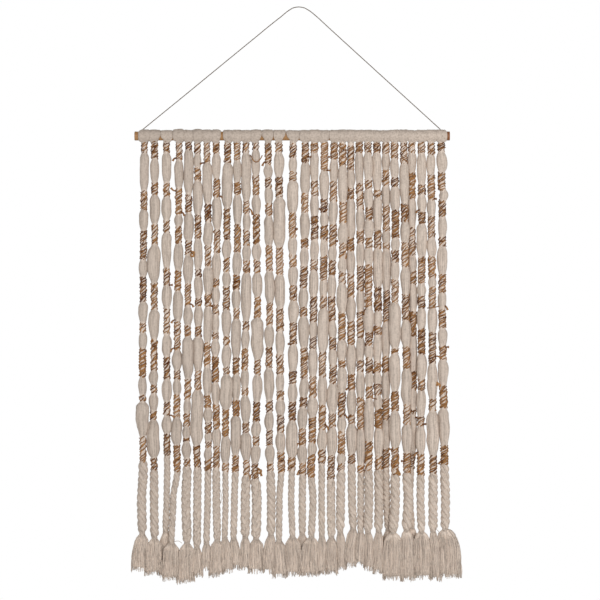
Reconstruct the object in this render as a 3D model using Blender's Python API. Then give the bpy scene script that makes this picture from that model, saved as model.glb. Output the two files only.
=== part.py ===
"""A yarn wall hanging on a wooden dowel.

Thirty-one cotton strands are folded over the dowel. Each is bound again and again with
jute, so that the cotton puffs out between the wraps. Further down each strand is twisted
into a rope, tied, and let loose as a tassel. A thin cord runs from one end of the dowel,
over the wall hook, to the other end.

Metres, +Z up, the front faces -Y. The origin is the point of the wall hook that carries
the cord. The sizes below are millimetres: across from the hook's plumb line, and down
from the dowel's centre line.
"""
import math

import bpy
import numpy as np

MM = 0.001

# Dowel
DOWEL_RADIUS = 9.0
DOWEL_LEFT, DOWEL_RIGHT = -328.5, 302.0
DOWEL_DROP = 257.0
DOWEL_SIDES = 24
DOWEL_CHAMFER = 0.8

# Cotton loop that each strand makes over the dowel
LOOP_SIDES = 8
LOOP_CLEARANCE = 0.35
LOOP_THICKNESS = 1.9
LOOP_GAP = 0.4
LOOP_SHOULDER = 1.5
COTTON_LEFT, COTTON_RIGHT = -321.0, 296.5

# Jute wraps, puffs, rope, tie and tassel
STRAND_SIDES = 6
WRAP_HALF_WIDTH = 6.5
FIRST_WRAP_TOP = 14.0
LONG_PUFF = 56.0
PUFF_RINGS = (0.5,)
LONG_PUFF_RINGS = (0.3, 0.7)
PUFF_DEPTH_SHARE = 0.82
ROPE_SIDES = 4
ROPE_STEP = 10.0
ROPE_GROOVE = 0.66
TIE_HALF_WIDTH = 5.6
TIE_HEIGHT = 7.0
TASSEL_SHOULDER = 17.0
TASSEL_SPREAD = 0.72
TASSEL_HALF_DEPTH = 9.5
TASSEL_CENTRE_DIP = 3.0
LOCK_SHORTER = (0.0, 6.0, 3.0, 0.0, 6.0, 3.0)
LOCKS = len(LOCK_SHORTER)
LOCK_SHARE = 0.84
SHARP_ANGLE = 50

# Hanging cord
CORD_RADIUS = 1.0
CORD_POINTS = 44

# How far down each level lies at which LEAN gives a strand's sideways drift
LEVELS = (28, 188, 328, 468, 608, 668, 728)

# A row for each strand, from the left:
# across at the top, tie's depth, tassel's end, rope width, tassel's left and right edge
STRANDS = (
    (-308.6, 795, 870, 18.0, -332.0, -306.2),
    (-288.2, 804, 878, 16.5, -305.4, -277.6),
    (-264.6, 792, 884, 12.2, -281.0, -262.0),
    (-239.4, 813, 890, 12.2, -272.0, -242.2),
    (-220.4, 814, 896, 17.5, -241.4, -212.2),
    (-202.6, 822, 882, 15.4, -211.4, -194.6),
    (-183.8, 814, 869, 12.6, -193.8, -179.0),
    (-165.2, 808, 882, 14.4, -178.2, -152.0),
    (-142.2, 804, 874, 11.4, -151.2, -134.0),
    (-123.4, 803, 866, 13.0, -133.2, -117.0),
    (-105.6, 802, 869, 17.4, -116.2, -99.0),
    (-86.2, 805, 874, 18.4, -98.2, -72.0),
    (-61.4, 796, 875, 17.0, -71.2, -52.4),
    (-40.0, 809, 884, 12.2, -51.6, -25.0),
    (-11.6, 801, 880, 12.2, -24.2, 5.0),
    (13.2, 797, 868, 14.0, -4.0, 16.0),
    (31.2, 802, 882, 13.6, 5.8, 38.0),
    (51.2, 799, 878, 12.4, 38.8, 54.0),
    (70.8, 802, 877, 15.6, 54.8, 76.0),
    (87.4, 791, 870, 17.0, 76.8, 92.0),
    (104.0, 784, 861, 15.6, 92.8, 113.0),
    (120.8, 791, 860, 13.0, 113.8, 131.0),
    (138.4, 791, 869, 17.4, 131.8, 149.6),
    (156.0, 789, 875, 17.4, 150.4, 167.4),
    (174.2, 789, 878, 14.0, 168.0, 190.0),
    (191.2, 793, 889, 18.6, 168.4, 204.6),
    (210.0, 788, 889, 19.4, 205.4, 230.6),
    (226.2, 784, 886, 13.0, 216.0, 238.0),
    (245.6, 791, 887, 15.4, 231.4, 263.6),
    (264.8, 789, 890, 18.0, 264.4, 281.0),
    (284.8, 786, 884, 17.4, 281.8, 322.0),
)

# A row for each strand: its sideways drift from its top at each of the LEVELS, then at the tie
LEAN = (
    (0, -1.8, -2.8, -3.8, -3.6, -2.6, -5.8, -4.6),
    (0, 0, -1.0, -1.6, -3.4, -1.4, -1.2, -0.4),
    (0, 0, 0.6, 0.6, 0.8, 1.4, 0.4, -2.0),
    (0, -1.0, -2.6, -4.2, -5.0, -3.6, -11.8, -15.2),
    (0, 0, -1.6, -1.2, -4.4, -3.2, -5.4, -3.2),
    (0, 0.8, 1.8, 1.0, -2.0, 0, -0.4, -1.2),
    (0, 2.4, 2.4, 0.6, 3.0, 2.2, 1.4, -0.8),
    (0, 2.0, -1.2, -1.8, 0.8, 0, 0.4, 2.0),
    (0, -1.6, -2.8, -2.4, -4.6, -4.6, -4.2, -5.8),
    (0, 1.0, -1.8, -2.2, -2.6, -3.6, -5.4, -7.0),
    (0, 1.2, 0.6, -2.4, 0, 1.0, -1.4, -1.4),
    (0, 1.4, 3.6, 3.6, 0.6, -1.8, 2.2, 0.6),
    (0, 1.6, 3.4, 1.8, 2.8, 4.8, 6.4, 5.8),
    (0, 1.2, 2.4, 2.4, 3.6, 4.8, 1.2, 0.4),
    (0, -1.0, 0.8, -0.4, -2.2, -2.6, -3.6, -1.2),
    (0, -1.2, -4.0, -2.4, -6.4, -5.4, -6.2, -6.2),
    (0, 0.4, -1.6, -3.0, -4.4, -6.8, -2.8, -5.8),
    (0, -0.4, -2.0, -4.0, -4.2, -5.4, -5.6, -5.2),
    (0, -2.6, -5.2, -2.4, -4.4, -6.4, -6.4, -5.6),
    (0, 1.2, -1.2, -1.2, -1.8, -2.8, -3.8, -4.6),
    (0, -0.8, 0.2, 1.2, 2.0, 1.8, 2.4, 4.6),
    (0, 2.4, 2.6, 2.2, 3.6, 3.6, 3.0, 3.0),
    (0, 1.8, 0.8, 2.4, 2.0, 1.0, 1.6, -0.2),
    (0, 1.6, 2.4, 0.8, 3.6, 3.4, 4.4, 3.6),
    (0, 0.8, 1.8, -0.2, 0.2, 0.2, 1.4, 5.0),
    (0, 2.0, 1.0, 0.8, 1.2, 1.2, 1.4, -2.2),
    (0, 2.4, 3.6, 5.4, 6.4, 6.4, 9.4, 5.4),
    (0, 0.2, 2.6, 2.6, 1.4, -1.8, -3.8, 0.2),
    (0, 0.6, -0.2, 0, -2.0, -1.8, -2.2, -0.4),
    (0, 0.6, 2.4, 2.2, 3.4, 4.0, 3.6, 3.6),
    (0, 2.4, 2.0, 3.6, 6.0, 6.6, 8.6, 7.8),
)

# A row for each strand, with for each jute wrap: its top, its end, the width of the puff below
WRAPS = (
    ((12, 34, 16.5), (110, 148, 17), (188, 248, 17), (282, 332, 17), (374, 394, 15.5),
     (426, 482, 15.5), (520, 532, 24), (602, 652, 18)),
    ((10, 46, 16), (94, 118, 19), (176, 218, 24.5), (294, 348, 20), (408, 468, 17),
     (498, 516, 17.5), (550, 568, 24), (644, 670, 17)),
    ((12, 34, 17.5), (94, 122, 18.5), (168, 194, 18), (264, 298, 18.5), (344, 398, 17),
     (442, 486, 19), (532, 560, 20), (596, 640, 13)),
    ((12, 48, 17), (106, 158, 16), (180, 214, 18), (270, 310, 18), (370, 428, 20),
     (468, 488, 16), (518, 562, 20), (618, 672, 13)),
    ((12, 28, 17.5), (116, 154, 18), (210, 238, 19), (296, 340, 17.5), (380, 402, 21),
     (486, 528, 13.5), (556, 582, 16.5), (604, 612, 18), (644, 662, 17)),
    ((14, 36, 14), (64, 90, 18), (158, 206, 15.5), (266, 282, 16), (324, 340, 17),
     (382, 402, 20.5), (470, 508, 23), (620, 664, 16)),
    ((12, 54, 18), (136, 172, 17.5), (220, 262, 18.5), (316, 342, 16), (412, 462, 17),
     (518, 544, 17), (572, 594, 14), (610, 626, 15), (648, 672, 13)),
    ((12, 36, 16), (86, 124, 17.5), (186, 236, 17.5), (286, 302, 17), (336, 358, 14.5),
     (392, 408, 16.5), (440, 494, 16), (536, 586, 17), (620, 666, 14.5)),
    ((12, 54, 20), (144, 208, 17.5), (244, 272, 15.5), (302, 348, 17.5), (400, 420, 18),
     (462, 478, 23), (546, 600, 18), (654, 672, 12)),
    ((14, 48, 15.5), (94, 118, 17), (178, 232, 17), (278, 308, 16), (346, 366, 18),
     (444, 478, 17), (528, 560, 19), (638, 672, 13.5)),
    ((14, 34, 17.5), (130, 156, 14), (188, 220, 15.5), (250, 274, 18.5), (370, 388, 15.5),
     (426, 468, 15), (504, 520, 19), (574, 594, 21), (650, 680, 17)),
    ((12, 28, 15.5), (80, 120, 16.5), (156, 216, 18), (248, 274, 18), (322, 364, 22),
     (448, 478, 18), (532, 572, 18), (602, 620, 18), (656, 686, 18)),
    ((14, 58, 17), (84, 104, 15.5), (136, 160, 16.5), (220, 270, 18), (334, 380, 17.5),
     (424, 466, 18.5), (530, 552, 17.5), (588, 620, 17.5), (654, 672, 17)),
    ((12, 34, 19), (82, 124, 22), (222, 278, 18.5), (344, 392, 17), (436, 476, 15),
     (510, 528, 18.5), (558, 594, 18.5), (632, 674, 13)),
    ((16, 44, 15.5), (72, 90, 20.5), (154, 204, 17), (236, 262, 17.5), (300, 330, 20),
     (374, 418, 19), (470, 496, 18), (532, 570, 22), (644, 670, 13)),
    ((14, 54, 18), (116, 154, 18.5), (206, 226, 16.5), (260, 306, 18.5), (344, 362, 20),
     (424, 486, 18), (522, 544, 18.5), (586, 620, 18.5), (654, 678, 14)),
    ((14, 34, 15.5), (90, 120, 16), (160, 208, 15.5), (248, 270, 17), (320, 372, 17),
     (402, 426, 17), (480, 524, 20), (562, 614, 17.5), (638, 682, 13)),
    ((14, 70, 18), (126, 154, 15.5), (180, 210, 14), (240, 288, 15), (320, 346, 20),
     (432, 482, 17.5), (538, 588, 19), (628, 656, 13)),
    ((14, 48, 16.5), (92, 132, 17), (176, 222, 16), (250, 280, 17), (320, 372, 16.5),
     (404, 428, 16.5), (458, 496, 22), (554, 584, 19), (640, 688, 16)),
    ((16, 60, 17), (132, 176, 19.5), (214, 246, 17), (272, 296, 20), (354, 408, 19),
     (448, 464, 17.5), (512, 562, 17), (590, 636, 17), (656, 672, 17.5)),
    ((20, 70, 17), (102, 128, 18), (204, 230, 17), (276, 326, 18.5), (370, 418, 19.5),
     (476, 510, 17.5), (558, 578, 21), (638, 656, 15.5)),
    ((14, 34, 15.5), (96, 148, 16.5), (190, 216, 15), (260, 310, 15), (350, 404, 16),
     (448, 474, 16.5), (524, 588, 17), (658, 674, 13)),
    ((14, 36, 17), (88, 106, 17), (144, 168, 17.5), (204, 224, 16.5), (258, 344, 20),
     (394, 420, 18), (444, 474, 16.5), (500, 526, 18), (612, 668, 17.5)),
    ((14, 34, 17), (108, 124, 18), (188, 226, 17.5), (302, 352, 17), (380, 400, 16.5),
     (452, 474, 16), (496, 520, 16), (546, 584, 18), (640, 668, 17)),
    ((14, 36, 15.5), (68, 100, 17), (140, 190, 16), (214, 228, 17.5), (310, 372, 17.5),
     (442, 474, 16), (526, 568, 17), (626, 666, 14)),
    ((14, 46, 16), (84, 102, 18), (150, 204, 16), (228, 252, 16), (288, 334, 22),
     (424, 436, 20), (510, 552, 21), (624, 678, 18.5)),
    ((14, 56, 17.5), (136, 172, 18), (212, 264, 18), (316, 370, 19), (422, 466, 19.5),
     (538, 578, 20), (634, 674, 20)),
    ((14, 34, 17), (72, 126, 16), (184, 240, 15.5), (270, 298, 16.5), (350, 402, 15.5),
     (472, 508, 15.5), (546, 558, 15.5), (638, 668, 13)),
    ((14, 36, 17), (96, 118, 17), (152, 176, 19), (242, 296, 17), (320, 346, 17),
     (386, 436, 19), (486, 510, 17), (562, 582, 19), (634, 680, 15.5)),
    ((14, 38, 16), (78, 128, 16.5), (160, 204, 18.5), (242, 284, 15.5), (302, 344, 18),
     (394, 456, 19), (526, 550, 23), (640, 676, 18)),
    ((14, 32, 19.5), (72, 110, 17.5), (128, 162, 16), (202, 222, 18.5), (278, 314, 15.5),
     (348, 386, 17), (420, 448, 19), (500, 546, 19.5), (620, 658, 17.5)),
)

# Strands pressed before or behind a neighbour: strand number, then pairs of how far down and
# how far back
PUSHED = {
    2: ((480, 0), (560, 5), (650, 5), (740, 0)),
    3: ((760, 0), (830, 19)),
    5: ((340, 0), (400, -4), (460, -4), (520, 0)),
    7: ((200, 0), (270, -4), (440, -4), (520, 0)),
    9: ((420, 0), (480, -4), (560, -4), (640, 0)),
    16: ((760, 0), (830, 19)),
    18: ((320, 0), (370, -4), (430, -4), (480, 0)),
    20: ((14, 0), (50, -4), (340, -4), (400, 0)),
    21: ((14, 0), (50, 4), (640, 4), (700, 0)),
    23: ((14, 0), (50, -5), (760, -5), (830, 0)),
    25: ((14, 0), (50, 5), (740, 7), (830, 19)),
    26: ((14, 0), (50, -3), (760, -3), (830, 0)),
    28: ((14, 0), (60, 7), (560, 8), (660, 15), (790, 16), (830, 20)),
}

COLOURS = {
    "cotton": ((0.58, 0.49, 0.40), 0.95, 0.0),
    "jute": ((0.26, 0.14, 0.06), 0.9, 0.0),
    "dowel_wood": ((0.50, 0.28, 0.11), 0.55, 0.0),
    "cord_yarn": ((0.32, 0.29, 0.25), 0.85, 0.0),
}


def clear_scene():
    for thing in list(bpy.data.objects):
        bpy.data.objects.remove(thing, do_unlink=True)


def material(name):
    colour, roughness, metallic = COLOURS[name]
    found = bpy.data.materials.get(name)
    if found:
        return found
    made = bpy.data.materials.new(name)
    made.use_nodes = True
    shader = made.node_tree.nodes["Principled BSDF"]
    shader.inputs["Base Color"].default_value = (*colour, 1.0)
    shader.inputs["Roughness"].default_value = roughness
    shader.inputs["Metallic"].default_value = metallic
    return made


def add_object(name, points_mm, faces, slots, wrapped=()):
    """A mesh object from points in millimetres; the faces listed in wrapped take the second slot."""
    mesh = bpy.data.meshes.new(name)
    mesh.from_pydata([tuple(c * MM for c in p) for p in points_mm], [], faces)
    for slot in slots:
        mesh.materials.append(material(slot))
    for index in wrapped:
        mesh.polygons[index].material_index = 1
    mesh.update()
    mesh.shade_smooth()
    mesh.set_sharp_from_angle(angle=math.radians(SHARP_ANGLE))
    made = bpy.data.objects.new(name, mesh)
    bpy.context.collection.objects.link(made)
    return made


def make_dowel():
    """A turned profile about the X axis, with a small chamfer at both ends."""
    length = DOWEL_RIGHT - DOWEL_LEFT
    profile = ((0, DOWEL_RADIUS - DOWEL_CHAMFER), (DOWEL_CHAMFER, DOWEL_RADIUS),
               (length - DOWEL_CHAMFER, DOWEL_RADIUS), (length, DOWEL_RADIUS - DOWEL_CHAMFER))
    points, faces = [], []
    for along, radius in profile:
        for k in range(DOWEL_SIDES):
            turn = math.tau * k / DOWEL_SIDES
            points.append((DOWEL_LEFT + along, radius * math.cos(turn),
                           radius * math.sin(turn) - DOWEL_DROP))
    for j in range(len(profile) - 1):
        for k in range(DOWEL_SIDES):
            a, b = j * DOWEL_SIDES + k, j * DOWEL_SIDES + (k + 1) % DOWEL_SIDES
            faces.append((a, b, b + DOWEL_SIDES, a + DOWEL_SIDES))
    last = (len(profile) - 1) * DOWEL_SIDES
    faces.append(tuple(reversed(range(DOWEL_SIDES))))
    faces.append(tuple(range(last, last + DOWEL_SIDES)))
    add_object("dowel", points, faces, ["dowel_wood"])


def loop_edges():
    """The left and right edge of each strand's loop: halfway between neighbours."""
    tops = [row[0] for row in STRANDS]
    between = [(a + b) / 2 for a, b in zip(tops, tops[1:])]
    return list(zip([COTTON_LEFT] + between, between + [COTTON_RIGHT]))


def depth_of(number, down):
    """How far back the strand's centre line lies at a depth below the dowel."""
    if number not in PUSHED:
        return 0.0
    downs, backs = zip(*PUSHED[number])
    return float(np.interp(down, downs, backs))


class Strand:
    """One strand's closed mesh, built from the loop downwards, ring by ring."""

    def __init__(self, number):
        self.number = number
        (self.top, self.tie, self.end, self.rope,
         self.tassel_left, self.tassel_right) = STRANDS[number - 1]
        self.drift = LEAN[number - 1]
        self.wraps = WRAPS[number - 1]
        self.points, self.faces, self.wrapped = [], [], []

    def centre(self, down):
        across = self.top + float(np.interp(down, LEVELS + (self.tie,), self.drift))
        return across, depth_of(self.number, down)

    def add_points(self, points):
        first = len(self.points)
        self.points.extend(points)
        return list(range(first, first + len(points)))

    def ring(self, down, half_width, half_depth, sides, centre=None):
        """A closed ring of points, anticlockwise seen from above, the first one at the right.
        half_width and half_depth may be lists, one value for each point."""
        x, y = centre or self.centre(down)
        wide = np.broadcast_to(half_width, sides)
        deep = np.broadcast_to(half_depth, sides)
        turns = [math.tau * k / sides for k in range(sides)]
        return self.add_points([(x + wide[k] * math.cos(t), y + deep[k] * math.sin(t),
                                 -DOWEL_DROP - down) for k, t in enumerate(turns)])

    def wall(self, upper, lower, wrapped=False):
        """Triangles between two rings, always taking the point that comes next around."""
        n, m = len(upper), len(lower)
        i = j = 0
        while i < n or j < m:
            here, below = upper[i % n], lower[j % m]
            if j < m and (i == n or (j + 1) * n <= (i + 1) * m):
                self.faces.append((here, below, lower[(j + 1) % m]))
                j += 1
            else:
                self.faces.append((here, below, upper[(i + 1) % n]))
                i += 1
            if wrapped:
                self.wrapped.append(len(self.faces) - 1)
        return lower

    def loop(self):
        """A band around the dowel, open below where the strand leaves it. Its section is a
        trapezium, wide at the wood. Returns the ring around that opening."""
        left, right = loop_edges()[self.number - 1]
        left, right = left + LOOP_GAP / 2, right - LOOP_GAP / 2
        inner = (DOWEL_RADIUS + LOOP_CLEARANCE) / math.cos(math.pi / LOOP_SIDES)
        outer = inner + LOOP_THICKNESS
        section = ((left, inner), (right, inner), (right - LOOP_SHOULDER, outer),
                   (left + LOOP_SHOULDER, outer))
        rows = []
        for k in range(LOOP_SIDES):
            turn = math.tau * k / LOOP_SIDES - math.pi / 2
            rows.append(self.add_points([(x, r * math.cos(turn), r * math.sin(turn) - DOWEL_DROP)
                                         for x, r in section]))
        outside = 2
        for k in range(LOOP_SIDES):
            a, b = rows[k], rows[(k + 1) % LOOP_SIDES]
            for s in range(len(section)):
                if s == outside and k in (0, LOOP_SIDES - 1):
                    continue
                t = (s + 1) % len(section)
                self.faces.append((a[s], a[t], b[t], b[s]))
        below, back, front = rows[0], rows[1], rows[-1]
        return [below[2], back[2], back[3], below[3], front[3], front[2]]

    def wrapped_part(self, ring):
        """Jute wraps of one width, with the cotton puffed out between them."""
        following = self.wraps[1:] + (None,)
        for (top, end, puff), below in zip(self.wraps, following):
            start = max(top, FIRST_WRAP_TOP)
            size = (WRAP_HALF_WIDTH, WRAP_HALF_WIDTH, STRAND_SIDES)
            ring = self.wall(ring, self.ring(start, *size))
            ring = self.wall(ring, self.ring(end, *size), wrapped=True)
            if below is None:
                break
            length = below[0] - end
            half = puff / 2
            for share in LONG_PUFF_RINGS if length > LONG_PUFF else PUFF_RINGS:
                ring = self.wall(ring, self.ring(end + share * length, half,
                                                 half * PUFF_DEPTH_SHARE, STRAND_SIDES))
        return ring

    def rope_part(self, ring):
        """A twisted rope: the ridges climb one point for each ring, the grooves between them."""
        start = self.wraps[-1][1] + ROPE_STEP / 2
        stop = self.tie - TIE_HEIGHT
        count = round((stop - start) / ROPE_STEP)
        for j in range(count + 1):
            down = start + (stop - start) * j / count
            reach = [self.rope / 2 * (1.0 if (i + j) % 2 == 0 else ROPE_GROOVE)
                     for i in range(ROPE_SIDES)]
            ring = self.wall(ring, self.ring(down, reach, reach, ROPE_SIDES))
        return self.wall(ring, self.ring(self.tie, TIE_HALF_WIDTH, TIE_HALF_WIDTH, ROPE_SIDES))

    def tassel(self, ring):
        """A head that spreads below the tie, and locks that stand apart but for their roots."""
        down = self.tie + TASSEL_SHOULDER
        tie_x, tie_y = self.centre(self.tie)
        end_x, end_y = (self.tassel_left + self.tassel_right) / 2, depth_of(self.number, self.end)
        half = (self.tassel_right - self.tassel_left) / 2
        mid = ((tie_x + end_x) / 2, (tie_y + end_y) / 2)
        head = self.ring(down, TASSEL_SPREAD * half, TASSEL_SPREAD * TASSEL_HALF_DEPTH, LOCKS, mid)
        self.wall(ring, head)
        root = self.add_points([(*mid, -DOWEL_DROP - down - TASSEL_CENTRE_DIP)])[0]
        for k in range(LOCKS):
            end = self.end - LOCK_SHORTER[k]
            turns = math.tau * np.array([k, k + 1]) / LOCKS
            corners = np.zeros((3, 2))
            corners[1:, 0] = half * np.cos(turns)
            corners[1:, 1] = TASSEL_HALF_DEPTH * np.sin(turns)
            middle = corners.mean(axis=0)
            low = middle + (corners - middle) * LOCK_SHARE
            foot = self.add_points([(end_x + x, end_y + y, -DOWEL_DROP - end) for x, y in low])
            self.wall([root, head[k], head[(k + 1) % LOCKS]], foot)
            self.faces.append(tuple(reversed(foot)))

    def build(self):
        self.tassel(self.rope_part(self.wrapped_part(self.loop())))
        add_object(f"strand_{self.number:02d}", self.points, self.faces, ["cotton", "jute"],
                   self.wrapped)


# The hanging cord's route: across from the hook, and down from the top of the cord's centre line
CORD_ROUTE = (
    (-312.0, 244.9), (-233.0, 180.6), (-155.0, 116.6), (-77.6, 53.2), (-57.2, 36.4), (-36.8, 20.4),
    (-20.4, 7.2), (-11.2, 1.9), (0.0, 0.0), (10.2, 1.6), (20.4, 7.0), (34.6, 18.2), (55.0, 36.9),
    (82.4, 62.0), (150.0, 123.6), (217.0, 184.6), (283.2, 244.9),
)


def smooth_route(route, count):
    """Points evenly spaced along a curve that passes smoothly through the route's own points:
    between two of them it is the cubic whose slope at each is that of the chord past it."""
    knots = np.array(route, dtype=float)
    spans = np.linalg.norm(np.diff(knots, axis=0), axis=1)
    at = np.concatenate([[0.0], np.cumsum(spans)])
    slopes = np.gradient(knots, at, axis=0)
    where = np.linspace(0.0, at[-1], count)
    k = np.clip(np.searchsorted(at, where, side="right") - 1, 0, len(spans) - 1)
    t = ((where - at[k]) / spans[k])[:, None]
    h = spans[k][:, None]
    return (knots[k] * (2 * t**3 - 3 * t**2 + 1) + knots[k + 1] * (3 * t**2 - 2 * t**3)
            + slopes[k] * h * (t**3 - 2 * t**2 + t) + slopes[k + 1] * h * (t**3 - t**2))


def make_hanging_cord():
    """A thin cord, taut from the first loop over the hook to the last loop."""
    curve = bpy.data.curves.new("hanging_cord", "CURVE")
    curve.dimensions = "3D"
    curve.bevel_depth = CORD_RADIUS * MM
    curve.bevel_resolution = 2
    curve.use_fill_caps = True
    route = smooth_route(CORD_ROUTE, CORD_POINTS)
    spline = curve.splines.new("POLY")
    spline.points.add(len(route) - 1)
    for point, (across, down) in zip(spline.points, route):
        point.co = (across * MM, 0.0, (CORD_RADIUS - down) * MM, 1.0)
    curve.materials.append(material("cord_yarn"))
    made = bpy.data.objects.new("hanging_cord", curve)
    bpy.context.collection.objects.link(made)


def main():
    clear_scene()
    make_dowel()
    make_hanging_cord()
    for number in range(1, len(STRANDS) + 1):
        Strand(number).build()


main()
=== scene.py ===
"""A yarn wall hanging on a wooden dowel.

Cotton strands are folded over a dowel, bound again and again with jute so that the cotton
puffs out between the wraps, then twisted into ropes, tied and let loose as tassels. A thin
cord runs from one end of the dowel, over the wall hook, to the other end.

The frame's axes: +Z up, the front faces -Y, the origin at the wall hook. The tables are
millimetres: across from the hook's plumb line, and down from the dowel's centre line.
"""

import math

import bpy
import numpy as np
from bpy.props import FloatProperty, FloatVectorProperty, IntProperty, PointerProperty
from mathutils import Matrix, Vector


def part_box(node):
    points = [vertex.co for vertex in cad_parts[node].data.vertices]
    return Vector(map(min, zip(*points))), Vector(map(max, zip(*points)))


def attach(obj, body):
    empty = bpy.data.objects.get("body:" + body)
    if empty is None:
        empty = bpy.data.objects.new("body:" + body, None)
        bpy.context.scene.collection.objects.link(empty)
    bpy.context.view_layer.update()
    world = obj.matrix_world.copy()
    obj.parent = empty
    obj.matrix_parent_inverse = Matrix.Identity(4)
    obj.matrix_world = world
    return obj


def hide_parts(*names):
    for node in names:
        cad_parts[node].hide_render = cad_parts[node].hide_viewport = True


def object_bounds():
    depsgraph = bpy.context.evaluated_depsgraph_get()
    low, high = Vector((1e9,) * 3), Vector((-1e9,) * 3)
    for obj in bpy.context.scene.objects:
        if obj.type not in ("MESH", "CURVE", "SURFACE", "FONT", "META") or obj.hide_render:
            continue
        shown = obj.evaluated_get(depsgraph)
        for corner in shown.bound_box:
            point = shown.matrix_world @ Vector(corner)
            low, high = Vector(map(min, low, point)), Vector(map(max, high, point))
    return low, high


bl_info = {
    "name": "Yarn Wall Hanging",
    "version": (1, 0, 0),
    "blender": (4, 5, 0),
    "location": "3D View > Sidebar > Hanging",
    "description": "Builds a yarn wall hanging on a wooden dowel around its fixed frame",
    "category": "Add Mesh",
}

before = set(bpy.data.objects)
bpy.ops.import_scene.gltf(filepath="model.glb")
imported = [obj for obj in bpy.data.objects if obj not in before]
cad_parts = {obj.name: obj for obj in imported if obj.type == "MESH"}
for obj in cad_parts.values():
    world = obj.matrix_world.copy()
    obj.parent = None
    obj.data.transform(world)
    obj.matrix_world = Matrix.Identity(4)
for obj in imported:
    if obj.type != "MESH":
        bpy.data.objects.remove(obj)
CAD_BOX = [list(corner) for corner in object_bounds()]
DOWEL_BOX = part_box("dowel")

MM = 0.001
BODY = "root"
SEED = 31

# The dowel's own measures, from the frame, in millimetres
DOWEL_LEFT, DOWEL_RIGHT = (corner.x / MM for corner in DOWEL_BOX)
DOWEL_RADIUS = (DOWEL_BOX[1].y - DOWEL_BOX[0].y) / 2 / MM
DOWEL_DROP = -(DOWEL_BOX[0].z + DOWEL_BOX[1].z) / 2 / MM

# Which strands are made otherwise than the rest
COARSE_STRANDS = 13   # so many from the left have fewer and thicker jute threads
PLAITED = (5, 6, 8, 11, 12, 19)   # strands with a plait, where the others have a twisted rope
PAINTED_LIGHT_RIGHT = 0.26   # painted light: how much lighter the strands are painted from left to right

# The header: where its cotton ends, how far its loops run over each other, where they start and
# end drawing in below the dowel, and where they end
COTTON_LEFT, COTTON_RIGHT = -321.0, 296.5
HEADER_OVERLAP = 1.3
ARCH_START, ARCH_END = 7.0, 13.0
LEG_END = 14.0
LEG_FROM_CENTRE = 2.8   # how far before and behind the strand's centre a loop's two legs end
CORNER_CUT = 5.0   # how far the first and the last loop draw in at their outer top corner

# The cotton between the wraps
BODY_TOP = 9.0
CORE_RADIUS = 5.5   # of the cotton under a wrap
FINE_CORE_RADIUS = 6.3   # the same, where the threads are finer
FLUFF = 0.8   # how far loose fibres stand out past the measured width
LEAST_SWELL = 0.4   # how far the flattest puff stands out past a wrap
PUFF_SHOULDERS = ((9.0, 16.0), (20.0, 38.0))   # least and most length, at a puff's top and end
SHOULDER_SHARE = 0.55   # the most of a puff's length that one shoulder takes
PUFF_DEPTH_SHARE = 0.84   # how far a puff swells from front to back, against side to side
LOBE_SHARE = 0.16   # how deep its soft lobes are, as a share of its swelling

# The jute
FIRST_TOP = 11.0   # where the wraps below the header start
FINE_SHARE, FINE_THREADS = 0.9, 1   # right of the coarse strands: thickness, and threads more
FEWER_SHADE_THREADS = 3   # how many fewer dark threads lie under the others: painted shade between them
KNOT_THREAD = 1.1   # half the thickness of the thread in knots and crossings
MASSED, MASSED_CHANCE, MASSED_LENGTH = 1.3, 0.2, 30   # thicker, how often, in what longer wraps
LEVEL_CHANCE, CROSSED_CHANCE = 0.2, 0.25   # how often one more thread lies over a wrap
PAINTED_HEADER_SHADE = 0.2   # painted shade: how much darker the wraps right below the header are

# What varies from wrap to wrap or from thread to thread, as the least and the most
CLIMB_RANGE = (0.8, 1.25)   # a factor of a wrap's climb
TONE_RANGE = (0.1, 0.75)   # a wrap's own tone, from dark 0 to gold 1
THREAD_TONES = (-0.25, 0.35)   # added to it for each thread
THREAD_THICKNESS = (0.75, 1.25)   # a factor of each thread's thickness
THREAD_ENDS = (-1.0, 3.5)   # how far inside its wrap a thread starts and stops

# Ropes, ties and tassels
ROPE_OVERLAP = 3.0   # how far up into the last wrap a rope starts
ROPE_SWELL = 9.0   # the length over which it widens there
PLY_STEP, PLY_STEP_SHARE = 8.0, 0.27   # from ply to ply along a rope: so much, and of its width
TIE_HALF_WIDTH = 5.0
TIE_REACH = 10.0   # how far above its tie a rope starts to narrow
TASSEL_SHOULDER = 12.0
TASSEL_HALF_DEPTH = 9.3
TASSEL_SHIFT = 45.0   # how far below the tie a tassel reaches its own middle

# How far a ply goes across and back, and its own half width and half depth, as shares of the
# rope's half width
TWISTED_PLY = (0.47, 0.47, 0.53, 0.53)
PLAITED_PLY = (0.48, 0.30, 0.54, 0.46)

# Each kind of piece draws its own random numbers
DRAWS = ("shoulders", "header", "puffs", "jute", "rope", "tassel")

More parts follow.
